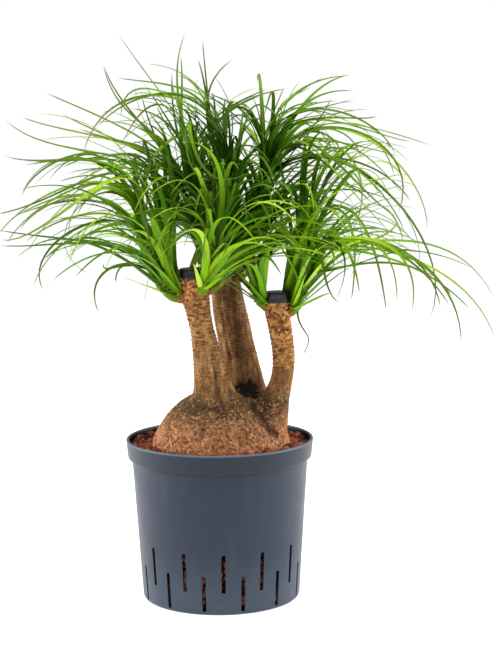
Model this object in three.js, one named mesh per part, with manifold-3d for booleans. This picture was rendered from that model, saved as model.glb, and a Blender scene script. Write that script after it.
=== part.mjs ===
// A potted ponytail palm: one swollen base with three sawn trunks, wax on the cuts, leafy side
// shoots below them, and a slotted culture pot filled with expanded clay.
// Millimetres, +Z up. The origin is the middle of the pot's underside; the plant faces -Y.

import * as THREE from 'three';
import { mergeVertices } from 'three/addons/utils/BufferGeometryUtils.js';
import Module from 'manifold-3d';

const wasm = await Module();
wasm.setup();

// ---------------------------------------------------------------- driving dimensions

const GAP = 0.35; // between pieces that touch
const WELD = 1e-4; // vertices closer than this are one

const POT = {
  height: 190, rimRadius: 110, footRadius: 88.6, footChamfer: 4,
  wallLow: 92.6, wallHigh: 103.4, // outer radius of the wall at its foot and under the collar
  collarBottom: 168, collarRadius: 108, lip: 1.5, wall: 2, floor: 3, sides: 40,
};
const SLOTS = {
  perRow: 13, width: 4.6, depth: 12, firstAngle: 1.4,
  rows: [{ bottom: 27, top: 72, shift: 0 }, { bottom: 4.5, top: 46, shift: 0.5 }],
};
const CLAY = {
  level: 182, pelletRadius: 8, pitch: 18.2, wander: 2, sunk: 2, socketEdge: 1.04, sides: 20,
};
const CAUDEX = {
  x: 0, y: -6, level: 178, halfWidth: 82, halfDepth: 71, rise: 72, depth: 48,
  lobes: 5, lobeSize: 0.03, sides: 28, rows: 12,
};
const BARK = {
  sides: 11, scarPitch: 14, scarDepth: 0.9, scarsFrom: 262, rows: 4,
  ribs: 5, ribSize: 0.06, ribsFade: [260, 320],
};
const SEAL = { overhang: 0.8, round: 1.6, sides: 14 };

// Stations up each trunk: [height, x, y, radius]. The wax seal stands on the last one.
const TRUNKS = {
  left: {
    turn: 0.4, sealHeight: 11,
    stations: [
      [200, 2, -16, 40], [230, -4, -20, 32], [245, -6, -22, 26.5], [258, -7.5, -23, 22.5],
      [282, -11.5, -25, 18.2], [305, -15.5, -26, 15], [333, -21, -27, 13.8], [358, -25.5, -27, 15.6],
      [382, -28, -27, 15.6],
    ],
  },
  middle: {
    turn: 2.1, sealHeight: 11,
    stations: [
      [200, 34, 20, 38], [235, 31.5, 26, 29], [250, 30, 27, 25], [276, 26, 29, 21.5],
      [300, 20.5, 30, 21], [335, 14, 31, 19.7], [366, 9.6, 32, 17.6], [390, 7.6, 32, 16.4],
    ],
  },
  right: {
    turn: 4.0, sealHeight: 13,
    stations: [
      [200, 44, -8, 37], [228, 58.5, -9, 23.6], [245, 67.6, -10, 16.8], [260, 73.4, -10, 14],
      [280, 75.8, -10, 13.4], [300, 74.8, -10, 13], [322, 71.4, -10, 13.4], [340, 68.6, -10, 14],
      [350, 68.8, -10, 13.8],
    ],
  },
};

// The space of the whole crown, and of its filling. No leaf's tip hangs lower than tips.
const CROWN = { left: -252, right: 332, front: -225, back: 225, bottom: 270, top: 664, tips: 270 };
const FILLING = { left: -225, right: 240, front: -200, back: 200, bottom: 340, top: 640, tips: 395 };
// Open air over the wax of two cuts, as seen from the front.
const WINDOWS = [
  { left: -54, right: -27, bottom: 378, top: 416 },
  { left: 55, right: 80, bottom: 350, top: 388 },
];

const BLADE = {
  steps: 4, thickness: 1.3, tipThickness: 0.75, // the tip's is a share of the root's
  rootWidth: 3.4, flare: 0.16, tipWidth: 1.2, taper: 1.5,
  samples: 16, clearance: 0.7, bundled: 0.3, // share of a shoot's blades that may touch
};
const STEM = { sides: 6, steps: 6, baseRadius: 5.2, tipRadius: 4.2 };
const GOLDEN_TURN = 137.508;

// Each leafy shoot: its stem as the four control points of a curve, starting inside its trunk,
// its number of leaves, their reach, and the leaves that make its outline, each by the points
// at a third and two thirds of its length and its tip. "from" is the place on the stem.
const SHOOTS = {
  left_outer: {
    seed: 1, leaves: 30, reach: 300,
    stem: [[-36, -27, 360], [-58, -29, 350], [-76, -30, 385], [-88, -31, 432]],
    outline: [
      { points: [[-105, -40, 505], [-170, -50, 520], [-235, -60, 525]] },
      { points: [[-110, -15, 495], [-170, -5, 520], [-225, 5, 480]] },
      { points: [[-105, -60, 500], [-170, -85, 465], [-240, -100, 435]], width: 11.5 },
      { points: [[-115, -30, 490], [-185, -35, 475], [-240, -40, 425]] },
      { points: [[-120, -20, 465], [-175, -10, 470], [-230, 0, 455]] },
      { points: [[-100, 0, 440], [-140, 10, 435], [-165, 20, 410]], from: 0.8 },
      { points: [[-95, -20, 500], [-125, -25, 510], [-160, -30, 492]], width: 10 },
      { points: [[-120, -30, 470], [-175, -40, 475], [-225, -50, 440]] },
      { points: [[-115, -40, 455], [-165, -55, 455], [-215, -70, 430]] },
      { points: [[-115, -35, 420], [-180, -50, 425], [-245, -60, 425]], from: 0.6 },
      { points: [[-130, -50, 450], [-185, -70, 425], [-195, -80, 375]] },
      { points: [[-125, -10, 480], [-175, 10, 440], [-145, 20, 380]] },
      { points: [[-105, -40, 400], [-135, -50, 385], [-135, -55, 345]], from: 0.6 },
      { points: [[-78, -14, 412], [-80, 0, 388], [-88, 10, 350]], from: 0.6, width: 5 },
    ],
  },
  left_front: {
    seed: 2, leaves: 21, reach: 220,
    stem: [[-22, -33, 364], [-17, -50, 364], [-7, -53, 395], [4, -52, 436]],
    outline: [
      { points: [[-14, -60, 410], [-14, -70, 440], [-28, -86, 446]], from: 0.45, width: 12 },
    ],
  },
  left_inner: {
    seed: 3, leaves: 21, reach: 240,
    stem: [[-18, -20, 366], [2, -14, 362], [8, -12, 394], [17, -10, 430]],
    outline: [
      { points: [[45, -30, 440], [82, -50, 430], [100, -58, 385]] },
    ],
  },
  left_back: {
    seed: 4, leaves: 25, reach: 290,
    stem: [[-32, -20, 364], [-46, -2, 360], [-60, 14, 390], [-64, 24, 430]],
    outline: [
      { points: [[-50, 20, 500], [-90, 30, 560], [-130, 40, 625]] },
      { points: [[-80, 0, 505], [-160, -10, 530], [-240, -20, 565]] },
      { points: [[-80, 20, 445], [-125, 30, 440], [-165, 40, 420]] },
      { points: [[-60, 10, 525], [-95, 20, 565], [-130, 30, 625]] },
      { points: [[-90, 30, 505], [-160, 40, 515], [-250, 50, 520]] },
      { points: [[-105, -5, 515], [-175, -20, 520], [-220, -30, 480]] },
    ],
  },
  middle_left: {
    seed: 5, leaves: 30, reach: 270,
    stem: [[0, 32, 372], [-21, 33, 370], [-20, 34, 420], [-26, 34, 476]],
    outline: [
      { points: [[-35, 20, 540], [-65, 10, 595], [-110, 0, 660]] },
      { points: [[-35, 50, 535], [-45, 70, 600], [-35, 80, 662]] },
      { points: [[-40, 35, 525], [-40, 40, 580], [-40, 45, 635]] },
      { points: [[-75, 40, 520], [-155, 60, 545], [-230, 70, 565]] },
      { points: [[-60, 10, 515], [-115, 0, 545], [-175, -10, 560]] },
      { points: [[-15, 50, 530], [25, 60, 575], [85, 70, 595]] },
      { points: [[-30, -20, 560], [-20, -60, 520], [35, -80, 505]] },
      { points: [[-35, 0, 545], [-65, -20, 580], [-105, -40, 540]] },
      { points: [[-60, 20, 515], [-105, 10, 535], [-160, 0, 552]], width: 10 },
    ],
  },
  middle_front: {
    seed: 6, leaves: 24, reach: 250,
    stem: [[10, 24, 374], [12, 6, 371], [13, 6, 420], [14, 4, 474]],
    outline: [
      { points: [[0, 30, 520], [-10, 40, 585], [-20, 50, 630]] },
      { points: [[0, 10, 520], [-10, 15, 580], [20, 20, 630]] },
      { points: [[-5, -10, 560], [-85, -40, 590], [-150, -60, 525]] },
      { points: [[-10, 10, 570], [-75, 0, 590], [-135, -10, 555]], width: 10 },
      { points: [[-5, 25, 565], [-50, 35, 600], [-115, 45, 610]] },
      { points: [[30, 0, 540], [45, -5, 577], [78, -10, 558]], width: 10 },
      { points: [[15, 20, 540], [10, 20, 575], [-15, 10, 588]], width: 10 },
    ],
  },
  middle_right: {
    seed: 7, leaves: 26, reach: 300,
    stem: [[18, 33, 372], [42, 34, 370], [44, 34, 440], [62, 34, 502]],
    outline: [
      { points: [[65, 30, 555], [100, 30, 595], [150, 25, 610]] },
      { points: [[75, 45, 540], [100, 60, 570], [145, 80, 580]] },
      { points: [[85, 10, 565], [155, -10, 565], [205, -20, 520]] },
      { points: [[95, 50, 555], [165, 70, 550], [235, 90, 530]] },
      { points: [[115, 0, 550], [190, -30, 530], [205, -50, 455]] },
      { points: [[130, 30, 550], [210, 20, 510], [245, 10, 430]] },
      { points: [[145, 10, 510], [230, -10, 435], [245, -20, 330]] },
      { points: [[40, 10, 545], [5, 0, 580], [-40, -10, 615]] },
      { points: [[100, -10, 535], [150, -30, 500], [205, -45, 450]] },
      { points: [[110, 50, 535], [170, 70, 520], [225, 90, 465]] },
      { points: [[50, 20, 550], [32, 10, 578], [5, 0, 560]], width: 10 },
      { points: [[70, 25, 560], [85, 20, 585], [110, 15, 598]] },
    ],
  },
  middle_back: {
    seed: 8, leaves: 27, reach: 280,
    stem: [[8, 40, 374], [8, 60, 371], [10, 66, 415], [12, 78, 464]],
    outline: [],
  },
  right_inner: {
    seed: 9, leaves: 20, reach: 210,
    stem: [[62, -12, 345], [43, -15, 342], [40, -16, 382], [32, -20, 422]],
    outline: [],
  },
  right_outer: {
    seed: 10, leaves: 25, reach: 280,
    stem: [[76, -11, 338], [98, -12, 334], [101, -12, 376], [107, -12, 425]],
    outline: [
      { points: [[185, -40, 420], [250, -60, 380], [275, -70, 305]], width: 11.5 },
      { points: [[190, -15, 410], [270, -20, 375], [320, -25, 305]] },
      { points: [[185, 15, 418], [265, 25, 407], [328, 30, 345]] },
      { points: [[150, -40, 395], [195, -60, 400], [245, -75, 385]], from: 0.7 },
      { points: [[135, -60, 430], [150, -110, 405], [155, -130, 375]] },
      { points: [[160, -75, 430], [205, -100, 410], [215, -110, 350]] },
      { points: [[115, -50, 420], [120, -80, 390], [135, -90, 360]], from: 0.8 },
      { points: [[97, -20, 322], [104, -25, 310], [97, -25, 290]], from: 0.3, width: 4 },
    ],
  },
  right_back: {
    seed: 11, leaves: 27, reach: 290,
    stem: [[74, -1, 340], [84, 17, 337], [98, 22, 400], [118, 24, 462]],
    outline: [
      { points: [[160, -5, 450], [185, -20, 395], [195, -30, 340]] },
      { points: [[120, 0, 480], [145, -20, 510], [180, -35, 535]] },
      { points: [[130, 20, 525], [165, 15, 500], [155, 5, 425]] },
    ],
  },
};

const MATERIALS = {
  pot: new THREE.MeshStandardMaterial({ color: 0x56636f, roughness: 0.55, metalness: 0 }),
  clay: new THREE.MeshStandardMaterial({ color: 0x8f4a30, roughness: 0.95, metalness: 0 }),
  bark: new THREE.MeshStandardMaterial({ color: 0x8d6844, roughness: 0.9, metalness: 0 }),
  wax: new THREE.MeshStandardMaterial({ color: 0x33273a, roughness: 0.5, metalness: 0 }),
  leaf: new THREE.MeshStandardMaterial({ color: 0x4f8a1c, roughness: 0.5, metalness: 0 }),
};

// ---------------------------------------------------------------- solids

/** A closed geometry as a solid, with its shared vertices merged and empty triangles dropped. */
function solid(geometry) {
  geometry.deleteAttribute('normal');
  geometry.deleteAttribute('uv');
  const merged = mergeVertices(geometry, WELD);
  const corners = merged.index.array;
  const triVerts = [];
  for (let i = 0; i < corners.length; i += 3) {
    const [a, b, c] = corners.slice(i, i + 3);
    if (a !== b && b !== c && c !== a) triVerts.push(a, b, c);
  }
  const vertProperties = merged.attributes.position.array;
  return new wasm.Manifold(
    new wasm.Mesh({ numProp: 3, vertProperties, triVerts: new Uint32Array(triVerts) }),
  );
}

/** The same geometry with every vertex moved to place(x, y, z). */
function shaped(geometry, place) {
  const { position } = geometry.attributes;
  for (let i = 0; i < position.count; i += 1) {
    const moved = place(position.getX(i), position.getY(i), position.getZ(i));
    position.setXYZ(i, moved.x, moved.y, moved.z);
  }
  return solid(geometry);
}

/** A profile of [radius, height] pairs turned about the Z axis. */
function turned(profile, sides) {
  const points = profile.map(([radius, height]) => new THREE.Vector2(radius, height));
  return solid(new THREE.LatheGeometry(points, sides).rotateX(Math.PI / 2));
}

/** The largest piece of a body, without loose scraps, its sealed hollows filled. */
function whole(body) {
  return body.decompose().reduce((most, part) => (part.volume() > most.volume() ? part : most));
}

/** The mesh of a finished solid, under its node's name. */
function piece(name, body, material) {
  const { numProp, vertProperties, triVerts } = body.getMesh();
  const geometry = new THREE.BufferGeometry();
  geometry.setAttribute('position', new THREE.BufferAttribute(vertProperties, numProp));
  geometry.setIndex(new THREE.BufferAttribute(triVerts, 1));
  geometry.computeVertexNormals();
  const mesh = new THREE.Mesh(geometry, material);
  mesh.name = name;
  return mesh;
}

/** A seeded draw between 0 and 1 for the given pair of whole numbers. */
function draw(number, which) {
  const wave = Math.sin(number * 12.9898 + which * 78.233) * 43758.5453;
  return wave - Math.floor(wave);
}

const vector = (list) => new THREE.Vector3(...list);
const mix = THREE.MathUtils.lerp;
const radians = THREE.MathUtils.degToRad;

// ---------------------------------------------------------------- pot

/** Outer radius of the pot's tapering wall at a height. */
function wallRadius(z) {
  const share = (z - POT.footChamfer) / (POT.collarBottom - POT.footChamfer);
  return mix(POT.wallLow, POT.wallHigh, share);
}

/** Profile of the pot's inside, from the axis up to the lip, moved inwards by inset. */
function insideProfile(inset, top) {
  const wall = POT.wall + inset;
  const topShare = (top - POT.collarBottom) / (POT.height - POT.collarBottom);
  return [
    [0, POT.floor + inset],
    [POT.footRadius - wall, POT.floor + inset],
    [wallRadius(POT.footChamfer + POT.floor) - wall, POT.footChamfer + POT.floor],
    [wallRadius(POT.collarBottom) - wall, POT.collarBottom + wall / 2],
    [POT.collarRadius - wall, POT.collarBottom + wall],
    [mix(POT.collarRadius, POT.rimRadius - POT.lip, topShare) - wall, top],
  ];
}

function culturePot() {
  const outside = [
    [0, 0],
    [POT.footRadius, 0],
    [POT.wallLow, POT.footChamfer],
    [POT.wallHigh, POT.collarBottom],
    [POT.collarRadius, POT.collarBottom + POT.lip],
    [POT.rimRadius, POT.height - POT.lip],
    [POT.rimRadius - POT.lip / 2, POT.height],
  ];
  const inside = insideProfile(0, POT.height).reverse();
  let pot = turned([...outside, ...inside], POT.sides);
  for (const row of SLOTS.rows) {
    for (let i = 0; i < SLOTS.perRow; i += 1) {
      const angle = radians(SLOTS.firstAngle + (360 / SLOTS.perRow) * (i + row.shift));
      const cutter = new THREE.BoxGeometry(SLOTS.width, SLOTS.depth, row.top - row.bottom);
      cutter.translate(0, -wallRadius(row.bottom), (row.top + row.bottom) / 2);
      pot = pot.subtract(solid(cutter.rotateZ(angle)));
    }
  }
  return pot;
}

// ---------------------------------------------------------------- caudex and trunks

/** The swollen base: a dome above its widest level, a shallow bowl below it, five soft lobes. */
function caudex(grow) {
  return shaped(new THREE.SphereGeometry(1, CAUDEX.sides, CAUDEX.rows), (x, y, z) => {
    const angle = Math.atan2(-z, x);
    const lobe = 1 + CAUDEX.lobeSize * Math.cos(CAUDEX.lobes * angle + 0.6);
    const rise = y > 0 ? (CAUDEX.rise + grow) * y ** 1.25 : (CAUDEX.depth + grow) * y;
    return new THREE.Vector3(
      CAUDEX.x + (CAUDEX.halfWidth * lobe + grow) * x,
      CAUDEX.y - (CAUDEX.halfDepth * lobe + grow) * z,
      CAUDEX.level + rise,
    );
  });
}

/** A trunk's [x, y, radius] at a height, on a smooth curve through its stations. */
function trunkAt(stations, z) {
  const last = stations.length - 1;
  const low = Math.max(0, Math.min(last - 1, stations.findIndex((row) => row[0] > z) - 1));
  const at = z >= stations[last][0] ? last - 1 : low;
  const span = stations[at + 1][0] - stations[at][0];
  const t = Math.min(1, Math.max(0, (z - stations[at][0]) / span));
  const slope = (i, k) => {
    const before = stations[Math.max(0, i - 1)];
    const after = stations[Math.min(last, i + 1)];
    return (after[k] - before[k]) / (after[0] - before[0]);
  };
  return [1, 2, 3].map((k) => (
    (1 + 2 * t) * (1 - t) ** 2 * stations[at][k] + t * (1 - t) ** 2 * span * slope(at, k)
    + t * t * (3 - 2 * t) * stations[at + 1][k] - t * t * (1 - t) * span * slope(at + 1, k)
  ));
}

/** One trunk: its stations' radius with upright ribs low down and ringed leaf scars higher up. */
function trunkColumn({ stations, turn }, grow) {
  const bottom = stations[0][0];
  const top = stations.at(-1)[0] + grow;
  const low = (_, i) => mix(bottom, BARK.scarsFrom, i / BARK.rows);
  const rows = Array.from({ length: BARK.rows }, low);
  const scars = Math.round((top - BARK.scarsFrom) / (BARK.scarPitch / 2));
  for (let i = 0; i <= scars; i += 1) rows.push(mix(BARK.scarsFrom, top, i / scars));
  const steps = rows.length - 1;
  return shaped(new THREE.CylinderGeometry(1, 1, 1, BARK.sides, steps), (x, y, z) => {
    const row = Math.round((y + 0.5) * steps);
    const height = rows[row];
    const [cx, cy, radius] = trunkAt(stations, height);
    const angle = Math.atan2(-z, x);
    const ribbed = 1 - THREE.MathUtils.smoothstep(height, ...BARK.ribsFade);
    const rib = radius * BARK.ribSize * ribbed * Math.cos(BARK.ribs * angle + turn);
    const scar = row > BARK.rows && row % 2 ? BARK.scarDepth : 0;
    const wide = radius + rib + scar + grow;
    return new THREE.Vector3(cx + wide * x, cy - wide * z, height);
  });
}

/** The caudex and its three trunks as one body, each face moved out by grow. */
function trunkBody(grow) {
  const columns = Object.values(TRUNKS).map((trunk) => trunkColumn(trunk, grow));
  return wasm.Manifold.union([caudex(grow), ...columns]);
}

/** The wax on a sawn top: a thick disc with a rounded edge that laps a little over the bark. */
function sealBody({ stations, sealHeight }, grow) {
  const [foot, x, y, radius] = stations.at(-1);
  const wide = radius + SEAL.overhang + grow;
  const bottom = foot + GAP - grow;
  const top = foot + sealHeight + grow;
  const profile = [
    [0, bottom], [wide - SEAL.round / 2, bottom], [wide, bottom + SEAL.round],
    [wide, top - SEAL.round], [wide - SEAL.round, top], [0, top],
  ];
  return turned(profile, SEAL.sides).translate([x, y, 0]);
}

// ---------------------------------------------------------------- clay granulate

/** The fill: the pot's inside up to the level, pellets half sunk in its top, a plain socket. */
function clayGranulate() {
  const profile = [...insideProfile(GAP, CLAY.level), [0, CLAY.level]];
  const edge = profile.at(-2)[0] * Math.cos(Math.PI / POT.sides) - CLAY.pelletRadius - GAP;
  const parts = [turned(profile, CLAY.sides)];
  const reach = Math.ceil(edge / CLAY.pitch);
  for (let row = -reach; row <= reach; row += 1) {
    for (let column = -reach; column <= reach; column += 1) {
      const number = row * 100 + column + 5000;
      const x = (column + (row % 2) / 2) * CLAY.pitch + CLAY.wander * (draw(number, 1) - 0.5);
      const y = row * CLAY.pitch * 0.87 + CLAY.wander * (draw(number, 2) - 0.5);
      const [across, deep] = [(x - CAUDEX.x) / CAUDEX.halfWidth, (y - CAUDEX.y) / CAUDEX.halfDepth];
      const inSocket = Math.hypot(across, deep) < CLAY.socketEdge;
      if (inSocket || Math.hypot(x, y) > edge) continue;
      const size = CLAY.pelletRadius * mix(0.8, 1, draw(number, 3));
      const pellet = new THREE.IcosahedronGeometry(size, 0);
      pellet.rotateX(6 * draw(number, 4)).rotateZ(6 * draw(number, 5));
      parts.push(solid(pellet.translate(x, y, CLAY.level - CLAY.sunk * draw(number, 6))));
    }
  }
  return wasm.Manifold.union(parts).subtract(caudex(GAP));
}

// ---------------------------------------------------------------- leafy shoots

/** A point, a direction and its two cross directions at a share of a curve. */
function frameAt(curve, share, across) {
  const along = curve.getTangent(share).normalize();
  const side = across.clone().addScaledVector(along, -across.dot(along)).normalize();
  const up = new THREE.Vector3().crossVectors(side, along);
  return { centre: curve.getPoint(share), along, side, up };
}

function stemCurve(shoot) {
  return new THREE.CubicBezierCurve3(...shoot.stem.map(vector));
}

/** Radius of a stem at a share of its length. */
const stemRadius = (share) => mix(STEM.baseRadius, STEM.tipRadius, share);

/** A shoot's stem: a tapering tube along its curve. */
function stemBody(shoot) {
  const curve = stemCurve(shoot);
  const across = new THREE.Vector3(0.3, 1, 0);
  return shaped(new THREE.CylinderGeometry(1, 1, 1, STEM.sides, STEM.steps), (x, y, z) => {
    const share = y + 0.5;
    const { centre, side, up } = frameAt(curve, share, across);
    const radius = stemRadius(share);
    return centre.addScaledVector(side, radius * x).addScaledVector(up, radius * z);
  });
}

/** The curve that passes a third and two thirds of its length and its tip at the given points. */
function curveThrough(root, third, twoThirds, tip) {
  const control = (a, b, c, d) => root.clone().multiplyScalar(a).addScaledVector(third, b)
    .addScaledVector(twoThirds, c).addScaledVector(tip, d).divideScalar(6);
  return new THREE.CubicBezierCurve3(root, control(-5, 18, -9, 2), control(2, -9, 18, -5), tip);
}

/** A leaf of the outline, its face turned to the front. A new try swings it nearer or further. */
function outlineLeaf(shoot, leaf, attempt) {
  const { centre } = frameAt(stemCurve(shoot), leaf.from ?? 0.92, new THREE.Vector3(0, 1, 0));
  const swing = 7 * Math.ceil(attempt / 2) * (attempt % 2 ? 1 : -1);
  const points = leaf.points.map((list, i) => (
    vector(list).add(new THREE.Vector3(0, (swing * (i + 1)) / 3, 0))
  ));
  const twist = points[2].x > centre.x ? 1 : -1;
  return { curve: curveThrough(centre, ...points), width: leaf.width ?? 8.5, twist };
}

/**
 * A leaf of the filling. It leaves the stem at the golden turn from the one before it, steeper
 * the younger it is, and each third of it bends further down under its weight.
 */
function fillingLeaf(shoot, index, attempt) {
  const number = shoot.seed * 4000 + index * 80 + attempt;
  const age = 1 - index / (shoot.leaves - 1);
  const share = mix(0.97, 0.08, age);
  const { centre, along } = frameAt(stemCurve(shoot), share, new THREE.Vector3(0, 1, 0));
  const axis = along.add(new THREE.Vector3(0, 0, 1)).normalize();
  const side = new THREE.Vector3(0, 1, 0).cross(axis).normalize();
  const front = new THREE.Vector3().crossVectors(axis, side);
  const turn = radians(GOLDEN_TURN * index + 60 * (draw(number, 1) - 0.5) + 47 * attempt);
  const tilt = radians(mix(7, 37, age ** 0.9) + 14 * (draw(number, 2) - 0.5));
  const outward = side.multiplyScalar(Math.cos(turn)).addScaledVector(front, Math.sin(turn));
  const start = axis.multiplyScalar(Math.cos(tilt)).addScaledVector(outward, Math.sin(tilt));
  const sweep = new THREE.Vector3(0, 0, 1).cross(outward);
  sweep.multiplyScalar(1.1 * (draw(number, 3) - 0.5));
  const sag = mix(0.55, 1.25, draw(number, 4));
  const leg = (shoot.reach * mix(0.75, 1.15, draw(number, 5)) * mix(0.85, 1, age)) / 3;
  const bent = (pull) => start.clone().addScaledVector(sweep, pull)
    .add(new THREE.Vector3(0, 0, -sag * pull * 1.25)).normalize().multiplyScalar(leg);
  const first = centre.clone().addScaledVector(start, leg);
  const second = first.clone().add(bent(0.55));
  const tip = second.clone().add(bent(1.3));
  return {
    curve: new THREE.CubicBezierCurve3(centre, first, second, tip),
    width: mix(7, 9.5, draw(number, 6)),
    twist: 1.6 * (draw(number, 7) - 0.5),
  };
}

/** Width of a blade at a share of its length: it flares from its root, then tapers to the tip. */
function bladeWidth(leaf, share) {
  const full = (leaf.width - BLADE.tipWidth) * (1 - share ** BLADE.taper) + BLADE.tipWidth;
  return mix(BLADE.rootWidth, full, Math.min(1, share / BLADE.flare));
}

/** One blade: a three-sided strap, flat above and keeled below, that runs out to a point. */
function bladeBody({ curve, width, twist }) {
  const run = curve.v3.clone().sub(curve.v0);
  const across = new THREE.Vector3(run.y, -run.x, 0);
  const cone = new THREE.ConeGeometry(1, 1, 3, BLADE.steps, false, Math.PI);
  return shaped(cone, (x, y, z) => {
    const share = y + 0.5;
    const { centre, along, side, up } = frameAt(curve, share, across);
    const turn = twist * share ** 0.7;
    side.applyAxisAngle(along, turn);
    up.applyAxisAngle(along, turn);
    const size = Math.hypot(x, z);
    if (size < WELD) return centre;
    const half = bladeWidth({ width }, share) / Math.sqrt(3);
    const thick = BLADE.thickness * mix(1, BLADE.tipThickness, share) * (2 / 3);
    return centre.addScaledVector(side, (half * x) / size).addScaledVector(up, (thick * z) / size);
  });
}

/** Points along the straight stretches of a blade, each with the half width there. */
function bladeSamples(leaf) {
  const samples = [];
  for (let step = 0; step < BLADE.steps; step += 1) {
    const from = leaf.curve.getPoint(step / BLADE.steps);
    const to = leaf.curve.getPoint((step + 1) / BLADE.steps);
    for (let i = 0; i < BLADE.samples; i += 1) {
      const share = (step + i / BLADE.samples) / BLADE.steps;
      const half = bladeWidth(leaf, share) / 2;
      samples.push({ point: from.clone().lerp(to, i / BLADE.samples), half, share });
    }
  }
  return samples;
}

/** True where a point with room round it is inside the space and off the trunks. */
function inOpenAir({ point, half }, space) {
  const { x, y, z } = point;
  const inside = x > space.left && x < space.right && y > space.front && y < space.back
    && z > space.bottom && z < space.top;
  const hides = WINDOWS.some((open) => (
    x > open.left && x < open.right && z > open.bottom && z < open.top
  ));
  return inside && !hides && Object.values(TRUNKS).every(({ stations, sealHeight }) => {
    const top = stations.at(-1)[0];
    if (z > top + sealHeight + half + 1) return true;
    const [cx, cy, radius] = trunkAt(stations, Math.min(z, top));
    return Math.hypot(x - cx, y - cy) > radius + SEAL.overhang + half + 1;
  });
}

/** The places that are taken, in cells wider than any two blades' half widths together. */
const CELL = 14;
const taken = new Map();
const cellKey = (i, j, k) => (i * 1009 + j) * 1013 + k;
const cellOf = ({ x, y, z }) => [x, y, z].map((value) => Math.floor(value / CELL));

function take(owner, samples) {
  for (const sample of samples) {
    const key = cellKey(...cellOf(sample.point));
    if (!taken.has(key)) taken.set(key, []);
    taken.get(key).push({ owner, ...sample });
  }
}

/** True where a sample keeps clear of another shoot's, or of its own shoot's past the roots. */
function clears(sample, other, owner) {
  const apart = other.owner !== owner || Math.min(other.share, sample.share) > BLADE.bundled;
  const room = other.half + sample.half + BLADE.clearance;
  return !apart || other.point.distanceTo(sample.point) >= room;
}

/** True where every sample of a blade clears all that stands in its own and the next cells. */
function isClear(owner, samples) {
  const steps = [-1, 0, 1];
  return samples.every((sample) => {
    const [i, j, k] = cellOf(sample.point);
    return steps.every((di) => steps.every((dj) => steps.every((dk) => {
      const near = taken.get(cellKey(i + di, j + dj, k + dk)) ?? [];
      return near.every((other) => clears(sample, other, owner));
    })));
  });
}

/** Tries a leaf's variants in turn and keeps the first that is clear of the other shoots. */
function settle(name, space, variant, attempts) {
  for (let attempt = 0; attempt < attempts; attempt += 1) {
    const leaf = variant(attempt);
    const samples = bladeSamples(leaf);
    const free = samples.slice(BLADE.samples / 2);
    const inside = free.every((sample) => inOpenAir(sample, space));
    if (inside && samples.at(-1).point.z >= space.tips && isClear(name, samples)) {
      take(name, samples);
      return [leaf];
    }
  }
  return [];
}

/** All leaves of all shoots: stems first, then the outline's leaves, then the filling in turns. */
function growLeaves() {
  const leaves = {};
  for (const [name, shoot] of Object.entries(SHOOTS)) {
    const curve = stemCurve(shoot);
    const shares = Array.from({ length: 30 }, (_, i) => i / 29);
    const round = (share) => ({ point: curve.getPoint(share), half: stemRadius(share), share: 0 });
    take(name, shares.map(round));
    leaves[name] = [];
  }
  for (const [name, shoot] of Object.entries(SHOOTS)) {
    for (const leaf of shoot.outline) {
      const variant = (attempt) => outlineLeaf(shoot, leaf, attempt);
      leaves[name].push(...settle(name, CROWN, variant, 12));
    }
  }
  for (let index = 0; index < 30; index += 1) {
    for (const [name, shoot] of Object.entries(SHOOTS)) {
      if (index >= shoot.leaves - shoot.outline.length) continue;
      const variant = (attempt) => fillingLeaf(shoot, index, attempt);
      leaves[name].push(...settle(name, FILLING, variant, 70));
    }
  }
  return leaves;
}

// ---------------------------------------------------------------- assembly

const palm = new THREE.Group();
palm.add(piece('culture_pot', culturePot(), MATERIALS.pot));
palm.add(piece('clay_granulate', clayGranulate(), MATERIALS.clay));
palm.add(piece('trunk', trunkBody(0), MATERIALS.bark));
for (const [name, trunk] of Object.entries(TRUNKS)) {
  palm.add(piece(`cut_seal_${name}`, sealBody(trunk, 0), MATERIALS.wax));
}

const keepOut = wasm.Manifold.union([
  trunkBody(GAP),
  ...Object.values(TRUNKS).map((trunk) => sealBody(trunk, GAP)),
]);
for (const [name, leaves] of Object.entries(growLeaves())) {
  const shoot = wasm.Manifold.union([stemBody(SHOOTS[name]), ...leaves.map(bladeBody)]);
  palm.add(piece(`shoot_${name}`, whole(shoot.subtract(keepOut)), MATERIALS.leaf));
}

export default palm;
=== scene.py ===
"""A potted ponytail palm: the fine surfaces of its pot, granulate, bark, wax and leaves.

Lengths in this script are millimetres, as on the real plant, until a mesh is made from them.
Leaves, stems and trunks follow the same curves and the same seeded draws as the solids that
they replace, so each fine piece lies where its solid does, and thinner leaves are added between.
Angles round the pot and the trunks are counted from +X towards +Y, and the plant faces -Y.
"""

import math

import bpy
import numpy as np
from mathutils import Matrix


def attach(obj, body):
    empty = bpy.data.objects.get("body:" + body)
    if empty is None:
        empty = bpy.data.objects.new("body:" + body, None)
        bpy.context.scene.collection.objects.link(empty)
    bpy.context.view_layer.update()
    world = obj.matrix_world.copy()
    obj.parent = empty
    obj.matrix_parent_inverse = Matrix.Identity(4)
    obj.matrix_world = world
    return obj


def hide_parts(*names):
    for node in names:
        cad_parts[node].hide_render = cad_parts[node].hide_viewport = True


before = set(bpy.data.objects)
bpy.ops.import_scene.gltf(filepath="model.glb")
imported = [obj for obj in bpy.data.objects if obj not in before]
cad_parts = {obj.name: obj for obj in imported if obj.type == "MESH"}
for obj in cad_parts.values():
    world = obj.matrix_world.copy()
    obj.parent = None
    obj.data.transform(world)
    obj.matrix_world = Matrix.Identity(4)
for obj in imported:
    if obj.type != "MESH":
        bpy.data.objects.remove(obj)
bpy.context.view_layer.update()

MM = 0.001
AMBIENT = 0.42  # share of the white surround that lights the plant

# ------------------------------------------------------------------ sizes

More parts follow.
